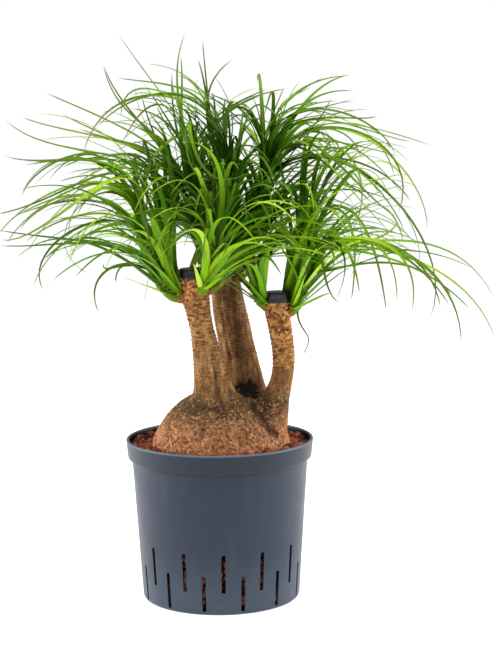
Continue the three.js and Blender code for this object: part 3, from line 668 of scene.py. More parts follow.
def bark():
    """Corky bark: granular plates on the swollen base, ringed tan trunks, red scales below the cuts."""
    paint = Paint("bark")
    relief = paint.attribute("relief")
    trunk = paint.attribute("trunk")
    scaly = paint.attribute("scaly")
    rough_place = paint.warped(5, 3.5)
    grain = paint.tone_of(paint.cells(2.4, "Color", place=rough_place))
    plate = paint.tone_of(paint.cells(3.3, "Color", place=rough_place))
    fleck = paint.noise(1.5, detail=4, roughness=0.7)
    cloud = paint.noise(26, detail=3)
    # partly the cork's own warmer colour, partly painted light: the lower swollen base is lighter
    low = paint.height(*BARK["warm_lit"])
    left, right = (paint.noise(2.4, 4, 0.7, paint.slanted(turn, 3.5)) for turn in (-48, 48))
    mottle = plate * 0.3 + left.math("MAXIMUM", right) * 2.3 - 0.92
    corky = paint.ramp(mottle, (0.0, (38, 25, 13)), (0.25, (62, 42, 24)), (0.5, (92, 65, 38)),
                       (0.78, (128, 95, 58)), (1.0, (172, 136, 90)))
    warm_lit = paint.ramp(mottle, (0.0, (92, 52, 33)), (0.22, (140, 86, 56)), (0.5, (182, 122, 82)),
                      (0.8, (206, 148, 104)), (1.0, (232, 184, 142)))
    corky = paint.mix(low * cloud.between(0.2, 0.5), corky, warm_lit)
    # painted shade: the upper swollen base is darker under the crown, in cloudy patches
    dull = cloud.between(0.38, 0.62) * paint.height(*BARK["dull"])
    corky = paint.mix(dull * 0.55, corky, (66, 52, 30))
    corky = paint.mix(grain.between(0.8, 0.97) * 0.45, corky, (200, 156, 108))
    corky = paint.mix(grain.between(0.28, 0.08) * 0.55, corky, (40, 24, 12))
    ring = paint.attribute("ring") + paint.noise(6, detail=3) * 0.7
    saw = ring.math("FRACT")
    seam = saw.between(0.2, 0.0) + saw.between(0.84, 1.0)
    dash = paint.noise(4.2, detail=3, roughness=0.65, place=paint.stretched(0.7, 0.7, 1.9))
    strand = paint.noise(4.6, detail=4, roughness=0.65, place=paint.stretched(1, 1, 0.28))
    tan = paint.ramp(dash, (0.3, (60, 36, 18)), (0.42, (98, 64, 34)), (0.53, (132, 92, 50)),
                     (0.68, (188, 144, 86)))
    striped = paint.ramp(strand, (0.3, (60, 38, 20)), (0.44, (98, 66, 36)), (0.56, (132, 94, 54)),
                         (0.72, (182, 140, 86)))
    tan = paint.mix(paint.attribute("striped"), tan, striped)
    tan = paint.mix(seam * dash.between(0.62, 0.4) * 0.75, tan, (46, 27, 15))
    tan = paint.mix(grain.between(0.65, 0.95) * 0.35, tan, (176, 112, 62))
    red = paint.ramp(dash * 0.6 + plate * 0.4, (0.28, (52, 24, 16)), (0.42, (112, 58, 34)),
                     (0.55, (158, 100, 54)), (0.72, (206, 156, 88)))
    patch = paint.noise(15, detail=3, place=paint.stretched(1, 1, 0.6))
    tan = paint.mix(patch.between(0.52, 0.35) * 0.35, tan, (74, 46, 26))
    tan = paint.mix(patch.between(0.55, 0.7) * 0.25, tan, (206, 166, 122))
    base = paint.mix(trunk, corky, tan)
    base = paint.mix(scaly * 0.8, base, red)
    base = paint.mix(fleck.between(0.55, 0.8) * 0.4, base, (52, 32, 20))
    # painted shade in the bark's recesses, and a faint painted highlight on its ridges
    base = paint.mix(relief.between(0.42, 0.05) * 0.6, base, (38, 24, 14))
    base = paint.mix(relief.between(0.62, 0.95) * 0.15, base, (206, 162, 108))
    # painted shade: the pit, the crease and the middle trunk's front
    base = paint.mix(paint.attribute("shade"), base, (15, 9, 4))
    bumps = fleck * 0.5 + grain * 0.3 + dash * 0.4 * trunk
    return paint.finish(base, {"Roughness": 0.9, "Specular IOR Level": 0.2}, bumps, 0.9, 0.8)


def sealing_wax():
    """Wax over the cut: purple-black, satin, with a dull bloom and shallow brush marks."""
    paint = Paint("sealing_wax")
    bloom = paint.noise(7, detail=4)
    brush = paint.noise(3, detail=3, place=paint.stretched(1, 0.3, 1))
    base = paint.mix(bloom.between(0.4, 0.7), (10, 8, 12), (27, 22, 30))
    return paint.finish(base, {"Roughness": bloom * 0.25 + 0.3, "IOR": 1.45}, brush, 0.5, 0.5)


def leaf():
    """Leaf green: a tone for each leaf, fine veins along it, thin pale edges and dull or dry tips.
    Its base is darkened with painted shade, with yellow at the very root, and the crown's middle is dim."""
    paint = Paint("leaf")
    tone = paint.attribute("tone")
    along = paint.attribute("along")
    across = paint.attribute("across")
    patch = paint.noise(40, detail=2) * 0.3 - 0.15
    green = paint.ramp(tone + patch, (0.0, (32, 68, 0)), (0.3, (72, 120, 0)), (0.6, (110, 160, 4)),
                       (0.85, (144, 184, 18)), (1.0, (174, 206, 54)))
    vein = (across * (2 * math.pi * BLADE["veins"])).math("COSINE")
    green = paint.mix(vein.between(0.3, 1.0) * 0.2, green, (118, 158, 40))
    rib = (across * across).between(0.06, 0.0)
    green = paint.mix(rib * 0.25, green, (118, 160, 44))
    green = paint.mix((across * across).between(0.7, 1.0) * 0.3, green, (140, 176, 66))
    dry = paint.attribute("dry")
    green = paint.mix(dry.between(0.3, 0.75) * 0.65, green, (68, 82, 6))
    green = paint.mix(dry.between(0.72, 0.9) * 0.75, green, (132, 122, 88))
    # painted shade on the leaf bases, deep in the bundles
    green = paint.mix(along.between(0.16, 0.04) * 0.6, green, (62, 96, 4))
    green = paint.mix(along.between(0.04, 0.0), green, (168, 150, 50))
    green = paint.mix(paint.attribute("shaded") * 0.62, green, (22, 74, 0))
    green = paint.mix(paint.attribute("woody"), green, (140, 84, 34))
    return paint.finish(green, {"Roughness": 0.5, "Specular IOR Level": 0.12}, vein, 0.08, 0.4)


def floor_paper():
    """Plain pale paper with the faintest tooth."""
    paint = Paint("floor_paper")
    tooth = paint.noise(3, detail=2)
    glow = {"Emission Color": (1, 1, 1, 1), "Emission Strength": 1 - AMBIENT}
    return paint.finish((252, 252, 252), {"Roughness": 0.9, **glow}, tooth, 0.05, 0.2)


# ------------------------------------------------------------------ pot

def wall_radius(z):
    """Outer radius of the pot's wall, which tapers straight from the collar to the foot."""
    share = (z - POT["wall_from"]) / (POT["collar_bottom"] - POT["wall_from"])
    return mix(POT["wall_low"], POT["wall_high"], share)


def pot_rows():
    """The pot's profile of [radius, height]: out under the floor, up the outside, over the lip with
    two small rounds, down the inside and back to the axis. Slot heights are rows on both sides."""
    foot, turn, wall = POT["foot"], POT["foot_round"], POT["wall"]
    floor, low, top, lip = POT["floor"], POT["floor_round"], POT["height"], POT["lip"]
    cuts = [height for row in SLOTS["rows"] for height in row]
    heights = np.unique([*np.linspace(turn, POT["wall_to"], POT["rows"]), *cuts])
    outside = np.concatenate([
        [[30, 0.0], [60, 0], [84, 0]],
        arc((foot, turn), turn, -90, 0, 7)[:-1],
        np.stack([wall_radius(heights), heights], 1),
        COLLAR["step"],
        COLLAR["flare"],
        arc((POT["rim"] - lip, top - lip), lip, 0, 90, 6),
    ])
    down = heights[::-1]
    bend = np.interp(down, [floor, low], [foot - wall, wall_radius(low) - wall])
    inner_lip = POT["inner_lip"]
    inside = np.concatenate([
        arc((POT["rim"] - 2 * lip - 0.1, top - inner_lip), inner_lip, 90, 180, POT["lip_rows"]),
        COLLAR["inside"],
        np.stack([np.where(down > low, wall_radius(down) - wall, bend), down], 1),
        [[foot - wall - 0.1, floor], [60, floor], [30, floor]],
    ])
    return outside, inside


def culture_pot():
    """The pot as one closed shell. Columns of the turned grid run along both edges of every slot;
    the grid's faces inside a slot are left out, and its outer and inner edges are joined."""
    outside, inside = pot_rows()
    profile = np.concatenate([outside, inside])
    sector = 360 / SLOTS["sectors"]
    half = math.degrees(SLOTS["width"] / 2 / wall_radius(SLOTS["width_at"]))
    land = np.linspace(half, sector - half, SLOTS["between"] + 1)[:-1]
    offsets = np.concatenate([[-half, 0], land])
    starts = SLOTS["first"] + sector * np.arange(SLOTS["sectors"])
    angles = np.radians((starts[:, None] + offsets).ravel() - 90)
    columns = len(angles)
    floor = np.array([[0, 0, POT["floor"]]])
    points, (quads, fans) = tubes(turned(profile, angles), np.zeros((1, 3)), floor)
    keep = np.ones((len(profile) - 1, columns), bool)
    bridges = []
    for slot in range(SLOTS["sectors"]):
        bottom, top = SLOTS["rows"][slot % 2]
        outer = np.flatnonzero((outside[:, 1] >= bottom) & (outside[:, 1] <= top))
        outer = outer[outside[outer, 0] >= POT["wall_low"] - 0.01]
        inner = len(outside) + np.flatnonzero((inside[:, 1] >= bottom) & (inside[:, 1] <= top))
        left = slot * len(offsets)
        keep[outer[0]:outer[-1], left:left + 2] = False
        keep[inner[0]:inner[-1], left:left + 2] = False
        across = np.arange(left, left + 3)
        out_left, in_left = outer * columns + left, inner[::-1] * columns + left
        out_low, in_low = outer[0] * columns + across, inner[-1] * columns + across
        out_top, in_top = outer[-1] * columns + across, inner[0] * columns + across
        sides = [(out_left, in_left), (in_left + 2, out_left + 2)]
        for a, b in [*sides, (in_low, out_low), (out_top, in_top)]:
            bridges.append(np.stack([a[:-1], b[:-1], b[1:], a[1:]], -1))
    quads = np.concatenate([quads[keep.ravel()], *bridges])
    # the inner wall's rows, which the finish paints near black as shade
    inner_rows = np.arange(len(profile)) >= len(outside) + POT["lip_rows"]
    inner_shade = np.repeat(inner_rows[None, :, None].astype(float), columns, 2)
    values = {"inside": tube_values(inner_shade, 0.0, 1.0)}
    piece = make_piece("pot_shell", points, [quads, fans], pot_plastic(), values, sharp=38)
    seat(piece, "pot_plastic", "culture_pot")


# ------------------------------------------------------------------ granulate

def pebble():
    """A rounded cube: 26 points of a 3 x 3 x 3 grid moved to a sphere, and its 24 faces."""
    grid = [spot for spot in np.ndindex(3, 3, 3) if spot != (1, 1, 1)]
    number = {spot: i for i, spot in enumerate(grid)}
    faces = []
    for axis in range(3):
        for side in (0, 2):
            for u, v in np.ndindex(2, 2):
                ring = [(u, v), (u + 1, v), (u + 1, v + 1), (u, v + 1)]
                spots = [tuple(np.insert(pair, axis, side)) for pair in ring]
                turn = spots if (side == 2) == (axis != 1) else spots[::-1]
                faces.append([number[spot] for spot in turn])
    return unit(np.array(grid) - 1.0), np.array(faces)


def pellet_places(random):
    """Where pellets lie: two jittered layers round the swollen base, and stacks behind the slots."""
    steps = np.arange(-PELLETS["across"], PELLETS["across"] + 1)
    column, row = np.meshgrid(steps, steps)
    spots = []
    for layer, rise in enumerate(PELLETS["layers"]):
        x = (column + row % 2 / 2 + layer / 2) * PELLETS["pitch"]
        y = (row * PELLETS["row"] + layer / 3) * PELLETS["pitch"]
        wander = random.uniform(-0.5, 0.5, (x.size, 2)) * PELLETS["wander"]
        flat = np.stack([x, y], -1).reshape(-1, 2) + wander
        height = PELLETS["level"] + rise + random.uniform(*PELLETS["lift"], len(flat))
        spots.append(np.column_stack([flat, height]))
    top = np.concatenate(spots)
    off_base = (top[:, :2] - [CAUDEX["x"], CAUDEX["y"]]) / [CAUDEX["half_width"], CAUDEX["half_depth"]]
    round_base = np.hypot(*off_base.T) > PELLETS["base"]
    top = top[round_base & (np.hypot(*top[:, :2].T) < PELLETS["edge"] - PELLETS["edge_room"])]
    slots, levels = np.arange(SLOTS["sectors"]), np.arange(STACKS["levels"])
    slot, level, lane = (grid.ravel() for grid in np.meshgrid(slots, levels, (-1, 1), indexing="ij"))
    angle = np.radians(SLOTS["first"] + 360 / SLOTS["sectors"] * slot - 90)
    height = STACKS["bottom"] + level * STACKS["rise"] + lane * STACKS["stagger"]
    height = height + random.uniform(-STACKS["lift"], STACKS["lift"], slot.size)
    side = lane * STACKS["lane"] + random.uniform(-STACKS["sway"], STACKS["sway"], slot.size)
    away = wall_radius(height) - POT["wall"] - STACKS["deep"]
    away = away - random.uniform(0, STACKS["recess"], slot.size)
    behind = np.stack([
        away * np.cos(angle) - side * np.sin(angle), away * np.sin(angle) + side * np.cos(angle), height,
    ], 1)
    return top, behind


def clay_granulate():
    """Pellets: rounded cubes stretched, turned and dented by seeded draws, over a core painted dark as
    shade.
    """
    random = np.random.default_rng(11)
    top, behind = pellet_places(random)
    places = np.concatenate([top, behind])
    count = len(places)
    shape, faces = pebble()
    on_top = np.arange(count) < len(top)
    size = random.uniform(PELLETS["small"], PELLETS["large"], count) * np.where(on_top, 1, STACKS["size"])
    room = PELLETS["edge"] - np.hypot(places[:, 0], places[:, 1])
    size = np.where(on_top, np.minimum(size, room), size)
    stretch = 1 + random.uniform(-PELLETS["stretch"], PELLETS["stretch"], (count, 1, 3))
    dents = 1 + random.uniform(-PELLETS["dent"], PELLETS["dent"], (count, len(shape), 1))
    spin = unit(random.normal(size=(count, 2, 3)))
    first = spin[:, 0]
    second = unit(np.cross(first, spin[:, 1]))
    axes = np.stack([first, second, np.cross(first, second)], 1)
    body = (shape * stretch * dents) @ axes * size[:, None, None] + places[:, None]
    pellets = body.reshape(-1, 3), [
        (faces + np.arange(count)[:, None, None] * len(shape)).reshape(-1, 4), np.zeros((0, 3), int),
    ]
    ends = [np.array([[0, 0, height]]) for _, height in (CLAY_CORE[0], CLAY_CORE[-1])]
    core = tubes(turned(CLAY_CORE, full_turn(96)), *ends)
    points, mesh_faces = joined([pellets, core])
    tone = np.concatenate([np.repeat(random.uniform(0, 1, count), len(shape)), np.zeros(len(core[0]))])
    # the core's points, painted near black as shade
    dark = np.concatenate([np.zeros(count * len(shape)), np.ones(len(core[0]))])
    piece = make_piece("clay_pellets", points, mesh_faces, fired_clay(), {"tone": tone, "core": dark})
    seat(piece, "fired_clay", "clay_granulate")


# ------------------------------------------------------------------ trunk

def trunk_at(stations, z):
    """A trunk's [x, y, radius] at each height: a cubic between stations, whose slope at each
    station is that of the line between its neighbours."""
    table = np.asarray(stations, float)
    height, values = table[:, 0], table[:, 1:]
    number, last = np.arange(len(table)), len(table) - 1
    before, after = np.maximum(number - 1, 0), np.minimum(number + 1, last)
    slope = (values[after] - values[before]) / (height[after] - height[before])[:, None]
    low = np.clip(np.searchsorted(height, z, side="right") - 1, 0, last - 1)
    span = (height[low + 1] - height[low])[..., None]
    t = np.clip((np.asarray(z)[..., None] - height[low][..., None]) / span, 0, 1)
    return (
        (1 + 2 * t) * (1 - t) ** 2 * values[low] + t * (1 - t) ** 2 * span * slope[low]
        + t * t * (3 - 2 * t) * values[low + 1] - t * t * (1 - t) * span * slope[low + 1]
    )


def caudex():
    """The swollen base: a dome above its widest level, a shallow bowl below, five soft lobes."""
    up = np.radians(np.linspace(178, 2, 90))[:, None]
    angle = full_turn(180)
    lobe = 1 + CAUDEX["lobe_size"] * np.cos(CAUDEX["lobes"] * angle + CAUDEX["lobe_turn"])
    high = np.cos(up)
    rise = np.where(high > 0, CAUDEX["rise"] * np.abs(high) ** CAUDEX["dome"], CAUDEX["depth"] * high)
    rings = np.stack([
        CAUDEX["x"] + CAUDEX["half_width"] * lobe * np.sin(up) * np.cos(angle),
        CAUDEX["y"] + CAUDEX["half_depth"] * lobe * np.sin(up) * np.sin(angle),
        CAUDEX["level"] + rise + 0 * angle,
    ], -1)[None]
    middle = np.array([[CAUDEX["x"], CAUDEX["y"], CAUDEX["level"]]], float)
    below = middle - [0, 0, CAUDEX["depth"]]
    return tubes(rings, below, middle + [0, 0, CAUDEX["rise"]])


def trunk_column(trunk):
    """A trunk's rings: the stations' radius with five soft upright ribs that fade with height."""
    bottom, top = trunk["stations"][0][0], trunk["stations"][-1][0] + BARK["over"]
    z = np.linspace(bottom, top, int((top - bottom) / BARK["row"]))[:, None]
    centre = trunk_at(trunk["stations"], z[:, 0])
    angle = full_turn(72)
    ribbed = BARK["rib_size"] * (1 - smooth_step(*BARK["fade"], z))
    wide = centre[:, 2:] * (1 + ribbed * np.cos(BARK["ribs"] * angle + trunk["turn"]))
    rings = np.stack([
        centre[:, :1] + wide * np.cos(angle), centre[:, 1:2] + wide * np.sin(angle), z + 0 * angle,
    ], -1)[None]
    ends = [np.array([[*centre[i, :2], z[i, 0]]]) for i in (0, -1)]
    return tubes(rings, *ends)


def fused(points, faces, voxel):
    """The outer skin of closed bodies that overlap, in even quads: points and quads."""
    draft = make_piece("draft", points, faces, bpy.data.materials.new("draft"))
    remesh = draft.modifiers.new("skin", "REMESH")
    remesh.mode = "VOXEL"
    remesh.voxel_size = voxel * MM
    bpy.context.view_layer.update()
    skin = draft.evaluated_get(bpy.context.evaluated_depsgraph_get()).data
    found = np.empty(len(skin.vertices) * 3, np.float32)
    skin.vertices.foreach_get("co", found)
    corners = np.empty(len(skin.loops), np.int32)
    skin.loops.foreach_get("vertex_index", corners)
    mesh, material = draft.data, draft.data.materials[0]
    bpy.data.objects.remove(draft)
    bpy.data.meshes.remove(mesh)
    bpy.data.materials.remove(material)
    return found.reshape(-1, 3).astype(float) / MM, corners.reshape(-1, 4).astype(int)


def point_normals(points, quads):
    """Each point's outward direction: the sum of its faces' cross products, made one long."""
    a, b, c, d = (points[quads[:, k]] for k in range(4))
    each = np.repeat(np.cross(c - a, d - b), 4, 0)
    corner = quads.ravel()
    return unit(np.stack([np.bincount(corner, each[:, k], len(points)) for k in range(3)], 1))


def relaxed(points, quads, rounds, share):
    """Each point moved half way to the mean of its neighbours, by its own share, round by round."""
    here = np.concatenate([quads, quads], 1).ravel()
    there = np.concatenate([np.roll(quads, 1, 1), np.roll(quads, -1, 1)], 1).ravel()
    count = np.bincount(here, minlength=len(points))[:, None]
    for _ in range(rounds):
        mean = np.stack([np.bincount(here, points[there, k], len(points)) for k in range(3)], 1) / count
        points = points + 0.5 * share[:, None] * (mean - points)
    return points


def nearest_trunk(points):
    """For each point: its angle round the trunk that is nearest in radii, and which trunk that is."""
    gaps, angles = [], []
    for trunk in TRUNKS.values():
        centre = trunk_at(trunk["stations"], points[:, 2])
        off = points[:, :2] - centre[:, :2]
        gaps.append(np.hypot(*off.T) / centre[:, 2])
        angles.append(np.arctan2(off[:, 1], off[:, 0]))
    which = np.argmin(gaps, 0)
    return np.array(angles)[which, np.arange(len(points))], which


def bark_relief(points):
    """How far the bark stands out at each point, in millimetres, with the values its finish reads.

    On the swollen base it is plates: small cells with sunken edges, and wide ones whose edges are
    cracks. On a trunk it is leaf scars: a saw wave up the trunk, bent by noise, with upright
    strands and grooves that fade at both ends. Below each cut the scars turn to coarse scales.
    A pit between two trunks and a crease on the front sink by bell curves of the distance, and both
    are painted dark as shade, as is the middle trunk's front.
    """
    angle, which = nearest_trunk(points)
    z = points[:, 2]
    trunks = list(TRUNKS.values())

    def own(key):
        return np.array([trunk[key] for trunk in trunks])[which]

    top = np.array([trunk["stations"][-1][0] for trunk in trunks])[which]
    on_trunk = smooth_step(*BARK["trunk"], z + 9 * noise(points, 22, 3))
    near, second = cells(points, BARK["plate"], 7)
    plate = smooth_step(0.0, 0.3, second - near) - 0.6 + 0.3 * (0.5 - near)
    wide_near, wide_second = cells(points, BARK["crack"], 17)
    crack = smooth_step(0.0, 0.16, wide_second - wide_near) - 1
    corky = 0.75 * plate + 0.7 * crack + 0.5 * noise(points, 9, 5) + 0.3 * noise(points, 3.2, 6)
    ring = (z + 2.4 * noise(points, 13, 1) + 1.3 * noise(points, 5, 2)) / own("ring")
    saw = ring - np.floor(ring)
    step = smooth_step(0.0, 0.3, saw) * (1 - smooth_step(0.55, 1.0, saw)) - 0.45
    rough = 0.6 + 0.4 * noise(points, 7, 9)
    tall = np.stack([points[:, 0], points[:, 1], z * 0.14], 1)
    strands = 0.75 * noise(tall, 4.6, 12) + 0.5 * noise(tall, 10, 13)
    upright = 1 - smooth_step(*BARK["upright"], z)
    scales = smooth_step(top - own("scales"), top - own("scales") * 0.3, z)
    # painted shade on the middle trunk's front
    trunk_shade = own("trunk_shade") * np.exp(-((angle - TRUNK_SHADE["turn"]) / TRUNK_SHADE["wide"]) ** 2)
    scar = smooth_step(*BARK["scars"], z)
    bands = 1.5 * step * rough * scar + strands * mix(0.3, 0.8, upright)
    flakes = 1.1 * (smooth_step(0.0, 0.3, second - near) - 0.5) * scales
    grooves = np.zeros(len(points))
    for number, trunk in enumerate(trunks):
        for turn, low, high, wide, deep in trunk["grooves"]:
            bend = 0.12 * noise(tall, 12, number)
            off = np.abs((angle - math.radians(turn) + bend + np.pi) % (2 * np.pi) - np.pi)
            reach = smooth_step(low - 8, low + 10, z) * (1 - smooth_step(high - 24, high, z))
            broken = 0.65 + 0.5 * noise(points, 11, 20 + number)
            grooves -= (which == number) * deep * reach * broken * np.exp(-(off / wide) ** 2)
    away = (points - HOLLOW["place"]) / HOLLOW["size"]
    ragged = 1 + 0.45 * noise(points, 6, 31) + 0.25 * noise(points, 2.6, 32)
    hollow = np.exp(-(np.sum(away**2, 1) * ragged) ** 1.5)
    shade_breakup = np.clip(0.75 + 0.7 * noise(points, 2.2, 61) + 0.5 * noise(points, 4.5, 62), 0, 1.2)
    pit = smooth_step(0.12, 0.5, hollow * mix(0.85, shade_breakup, 0.6))
    fibres = 0.9 + 0.28 * noise(points, 1.8, 63)
    start, run = np.array(CREASE["from"]), np.subtract(CREASE["to"], CREASE["from"])
    flat = points[:, [0, 2]] - start
    past = flat - np.clip(flat @ run / (run @ run), 0, 1)[:, None] * run
    wander = 2.5 * noise(points, 9, 51)
    crease = np.exp(-((np.hypot(*past.T) + wander) / CREASE["wide"]) ** 2) * (points[:, 1] < 0)
    height = mix(corky, bands + flakes, on_trunk) + grooves - HOLLOW["depth"] * hollow
    height = height - CREASE["depth"] * crease
    return height, {
        "relief": np.clip(0.55 + 0.35 * (height + HOLLOW["depth"] * hollow), 0, 1),
        "trunk": on_trunk, "ring": ring, "scaly": scales,
        "striped": 0.85 * (1 - smooth_step(*own("strands").T, z)),
        # painted shade in the pit, along the crease and on the middle trunk's front
        "shade": np.clip(pit * fibres + trunk_shade * on_trunk + 0.45 * crease * shade_breakup, 0, 0.97),
    }


def trunk():
    """The swollen base and its three trunks: one fused skin, eased where they join, then its bark."""
    bodies = [caudex(), *(trunk_column(trunk) for trunk in TRUNKS.values())]
    points, quads = fused(*joined(bodies), BARK["voxel"])
    join = 1 - smooth_step(*BARK["eased"], points[:, 2])
    points = relaxed(points, quads, BARK["join_rounds"], join)
    points = relaxed(points, quads, BARK["all_rounds"], np.ones(len(points)))
    height, values = bark_relief(points)
    points = points + height[:, None] * point_normals(points, quads)
    piece = make_piece("bark_skin", points, [quads], bark(), values)
    seat(piece, "bark", "trunk")


def cut_seals():
    """Wax caps: a turned disc with rounded edges, a shallow uneven top and a hem of short runs."""
    material = sealing_wax()
    angle = full_turn(72)
    for number, (name, trunk) in enumerate(TRUNKS.items()):
        foot, x, y, radius = trunk["stations"][-1]
        wide, top = radius + SEAL["overhang"], foot + trunk["seal"]
        bottom = foot + SEAL["gap"]
        profile = np.concatenate([
            [[wide * 0.5, bottom], [wide - 0.8, bottom], [wide - 0.1, bottom + 0.3]],
            [[wide, h] for h in np.linspace(bottom + 1, top - SEAL["round"], 9)],
            arc((wide - SEAL["round"], top - SEAL["round"]), SEAL["round"], 15, 90, 5),
            [[r, top] for r in np.linspace(wide - 3, 1.5, 7)],
        ])
        rings = turned(profile, angle) + [x, y, 0]
        runs = sum(np.cos(k * angle + 2.1 * k + number) / k for k in (2, 3, 5, 7))
        low = 1 - smooth_step(bottom + 0.5, bottom + 5, rings[..., 2])
        rings[..., 2] -= SEAL["run"] * low * np.clip(runs, -0.2, 1.5)
        lumps = 0.35 * noise(rings, 5, number) + 0.25 * noise(rings, 2.2, number + 4)
        outward = rings - [x, y, mix(bottom, top, 0.5)]
        rings = rings + lumps[..., None] * unit(outward)
        ends = [np.array([[x, y, height]]) for height in (bottom, top)]
        piece = make_piece(f"wax_{name}", *tubes(rings, *ends), material)
        seat(piece, "sealing_wax", f"cut_seal_{name}")


# ------------------------------------------------------------------ leafy shoots

def bezier(control, share):
    """Points on cubic curves: each control point weighed by its term of the cubic at each share."""
    s = np.atleast_1d(np.asarray(share, float))[:, None]
    weights = ((1 - s) ** 3, 3 * s * (1 - s) ** 2, 3 * s * s * (1 - s), s**3)
    return sum(weight * control[..., None, i, :] for i, weight in enumerate(weights))


def heading(control, share):
    """The direction of a curve: from just before each share of it to just after."""
    s = np.atleast_1d(np.asarray(share, float))
    return unit(bezier(control, np.minimum(s + 1e-4, 1)) - bezier(control, np.maximum(s - 1e-4, 0)))


def curve_through(root, third, two_thirds, tip):
    """The control points of the cubic that passes these four points at even shares."""
    inner = (-5 * root + 18 * third - 9 * two_thirds + 2 * tip) / 6
    outer = (2 * root - 9 * third + 18 * two_thirds - 5 * tip) / 6
    return np.array([root, inner, outer, tip])


def outline_leaf(shoot, leaf, attempt):
    """A leaf of the outline, turned to the front. Each new attempt swings it nearer or further."""
    root = bezier(np.array(shoot["stem"], float), leaf.get("from", 0.92))[0]
    swing = GROWTH["swing"] * math.ceil(attempt / 2) * (1 if attempt % 2 else -1)
    points = np.array(leaf["points"], float)
    points[:, 1] += swing * np.array([1, 2, 3]) / 3
    turn = 1 if points[2, 0] > root[0] else -1
    return {"curve": curve_through(root, *points), "width": leaf.get("width", 8.5), "twist": turn}


def filling_leaf(shoot, number, turn, age, attempt):
    """A leaf of the filling. It is steeper the younger it is, and bends down under its weight."""
    share = mix(*GROWTH["place"], age)
    stem = np.array(shoot["stem"], float)
    centre = bezier(stem, share)[0]
    axis = unit(heading(stem, share)[0] + [0, 0, 1.0])
    side = unit(np.cross([0, 1, 0], axis))
    front = np.cross(axis, side)
    turn = math.radians(turn + GROWTH["wander"] * (draw(number, 1) - 0.5) + GROWTH["retry"] * attempt)
    tilt = mix(*GROWTH["tilt"], age ** GROWTH["tilt_age"])
    tilt = math.radians(tilt + GROWTH["tilt_spread"] * (draw(number, 2) - 0.5))
    outward = side * math.cos(turn) + front * math.sin(turn)
    start = axis * math.cos(tilt) + outward * math.sin(tilt)
    sweep = np.cross([0, 0, 1], outward) * GROWTH["sweep"] * (draw(number, 3) - 0.5)
    sag = mix(*GROWTH["sag"], draw(number, 4))
    leg = shoot["reach"] * mix(*GROWTH["reach"], draw(number, 5)) * mix(GROWTH["young"], 1, age) / 3

    def bent(pull):
        return unit(start + sweep * pull + [0, 0, -sag * pull * GROWTH["fall"]]) * leg

    near, far = GROWTH["pulls"]
    first = centre + start * leg
    second = first + bent(near)
    return {
        "curve": np.array([centre, first, second, second + bent(far)]),
        "width": mix(*GROWTH["width"], draw(number, 6)),
        "twist": GROWTH["twist"] * (draw(number, 7) - 0.5), "broad": BROAD["filling"],
    }


def blade_width(width, share):
    """Width of a solid's blade: it flares from its root, then tapers to the tip."""
    full = (width - BLADE["tip"]) * (1 - share ** BLADE["taper"]) + BLADE["tip"]
    return mix(BLADE["root"], full, np.minimum(1, share / BLADE["flare"]))


def blade_samples(leaf):
    """Rows of [x, y, z, half width, share] along the straight stretches of a solid's blade."""
    steps, samples = BLADE["steps"], BLADE["samples"]
    joints = bezier(leaf["curve"], np.arange(steps + 1) / steps)
    part = (np.arange(samples) / samples)[:, None]
    points = np.concatenate([mix(joints[i], joints[i + 1], part) for i in range(steps)])
    share = np.arange(steps * samples) / (steps * samples)
    return np.column_stack([points, blade_width(leaf["width"], share) / 2, share])


def in_open_air(samples, space):
    """True where points with room round them are in the space and off the trunks."""
    points, half = samples[:, :3], samples[:, 3]
    inside = np.all((points > space["low"]) & (points < space["high"]))
    if not inside or points[-1, 2] < space["tips"]:
        return False
    x, _, z = points.T
    for left, right, low, high in WINDOWS:
        if np.any((x > left) & (x < right) & (z > low) & (z < high)):
            return False
    for trunk in TRUNKS.values():
        top = trunk["stations"][-1][0]
        centre = trunk_at(trunk["stations"], np.minimum(points[:, 2], top))
        gap = np.hypot(*(points[:, :2] - centre[:, :2]).T)
        above = points[:, 2] > top + trunk["seal"] + half + 1
        if not np.all(above | (gap > centre[:, 2] + SEAL["overhang"] + half + 1)):
            return False
    return True


def is_clear(owner, samples, taken):
    """True where a blade clears all other shoots', and its own shoot's past their roots. Only what
    is taken in its box is looked at, with room round it for any two blades' half widths."""
    low = samples[:, :3].min(0) - BLADE["room"]
    high = samples[:, :3].max(0) + BLADE["room"]
    other = taken[np.all((taken[:, :3] > low) & (taken[:, :3] < high), 1)]
    if not len(other):
        return True
    gap = np.linalg.norm(samples[:, None, :3] - other[None, :, :3], axis=-1)
    needed = samples[:, None, 3] + other[None, :, 3] + BLADE["clearance"]
    past = np.minimum(samples[:, None, 4], other[None, :, 4]) > BLADE["bundled"]
    return bool(np.all((gap >= needed) | ~((other[None, :, 5] != owner) | past)))


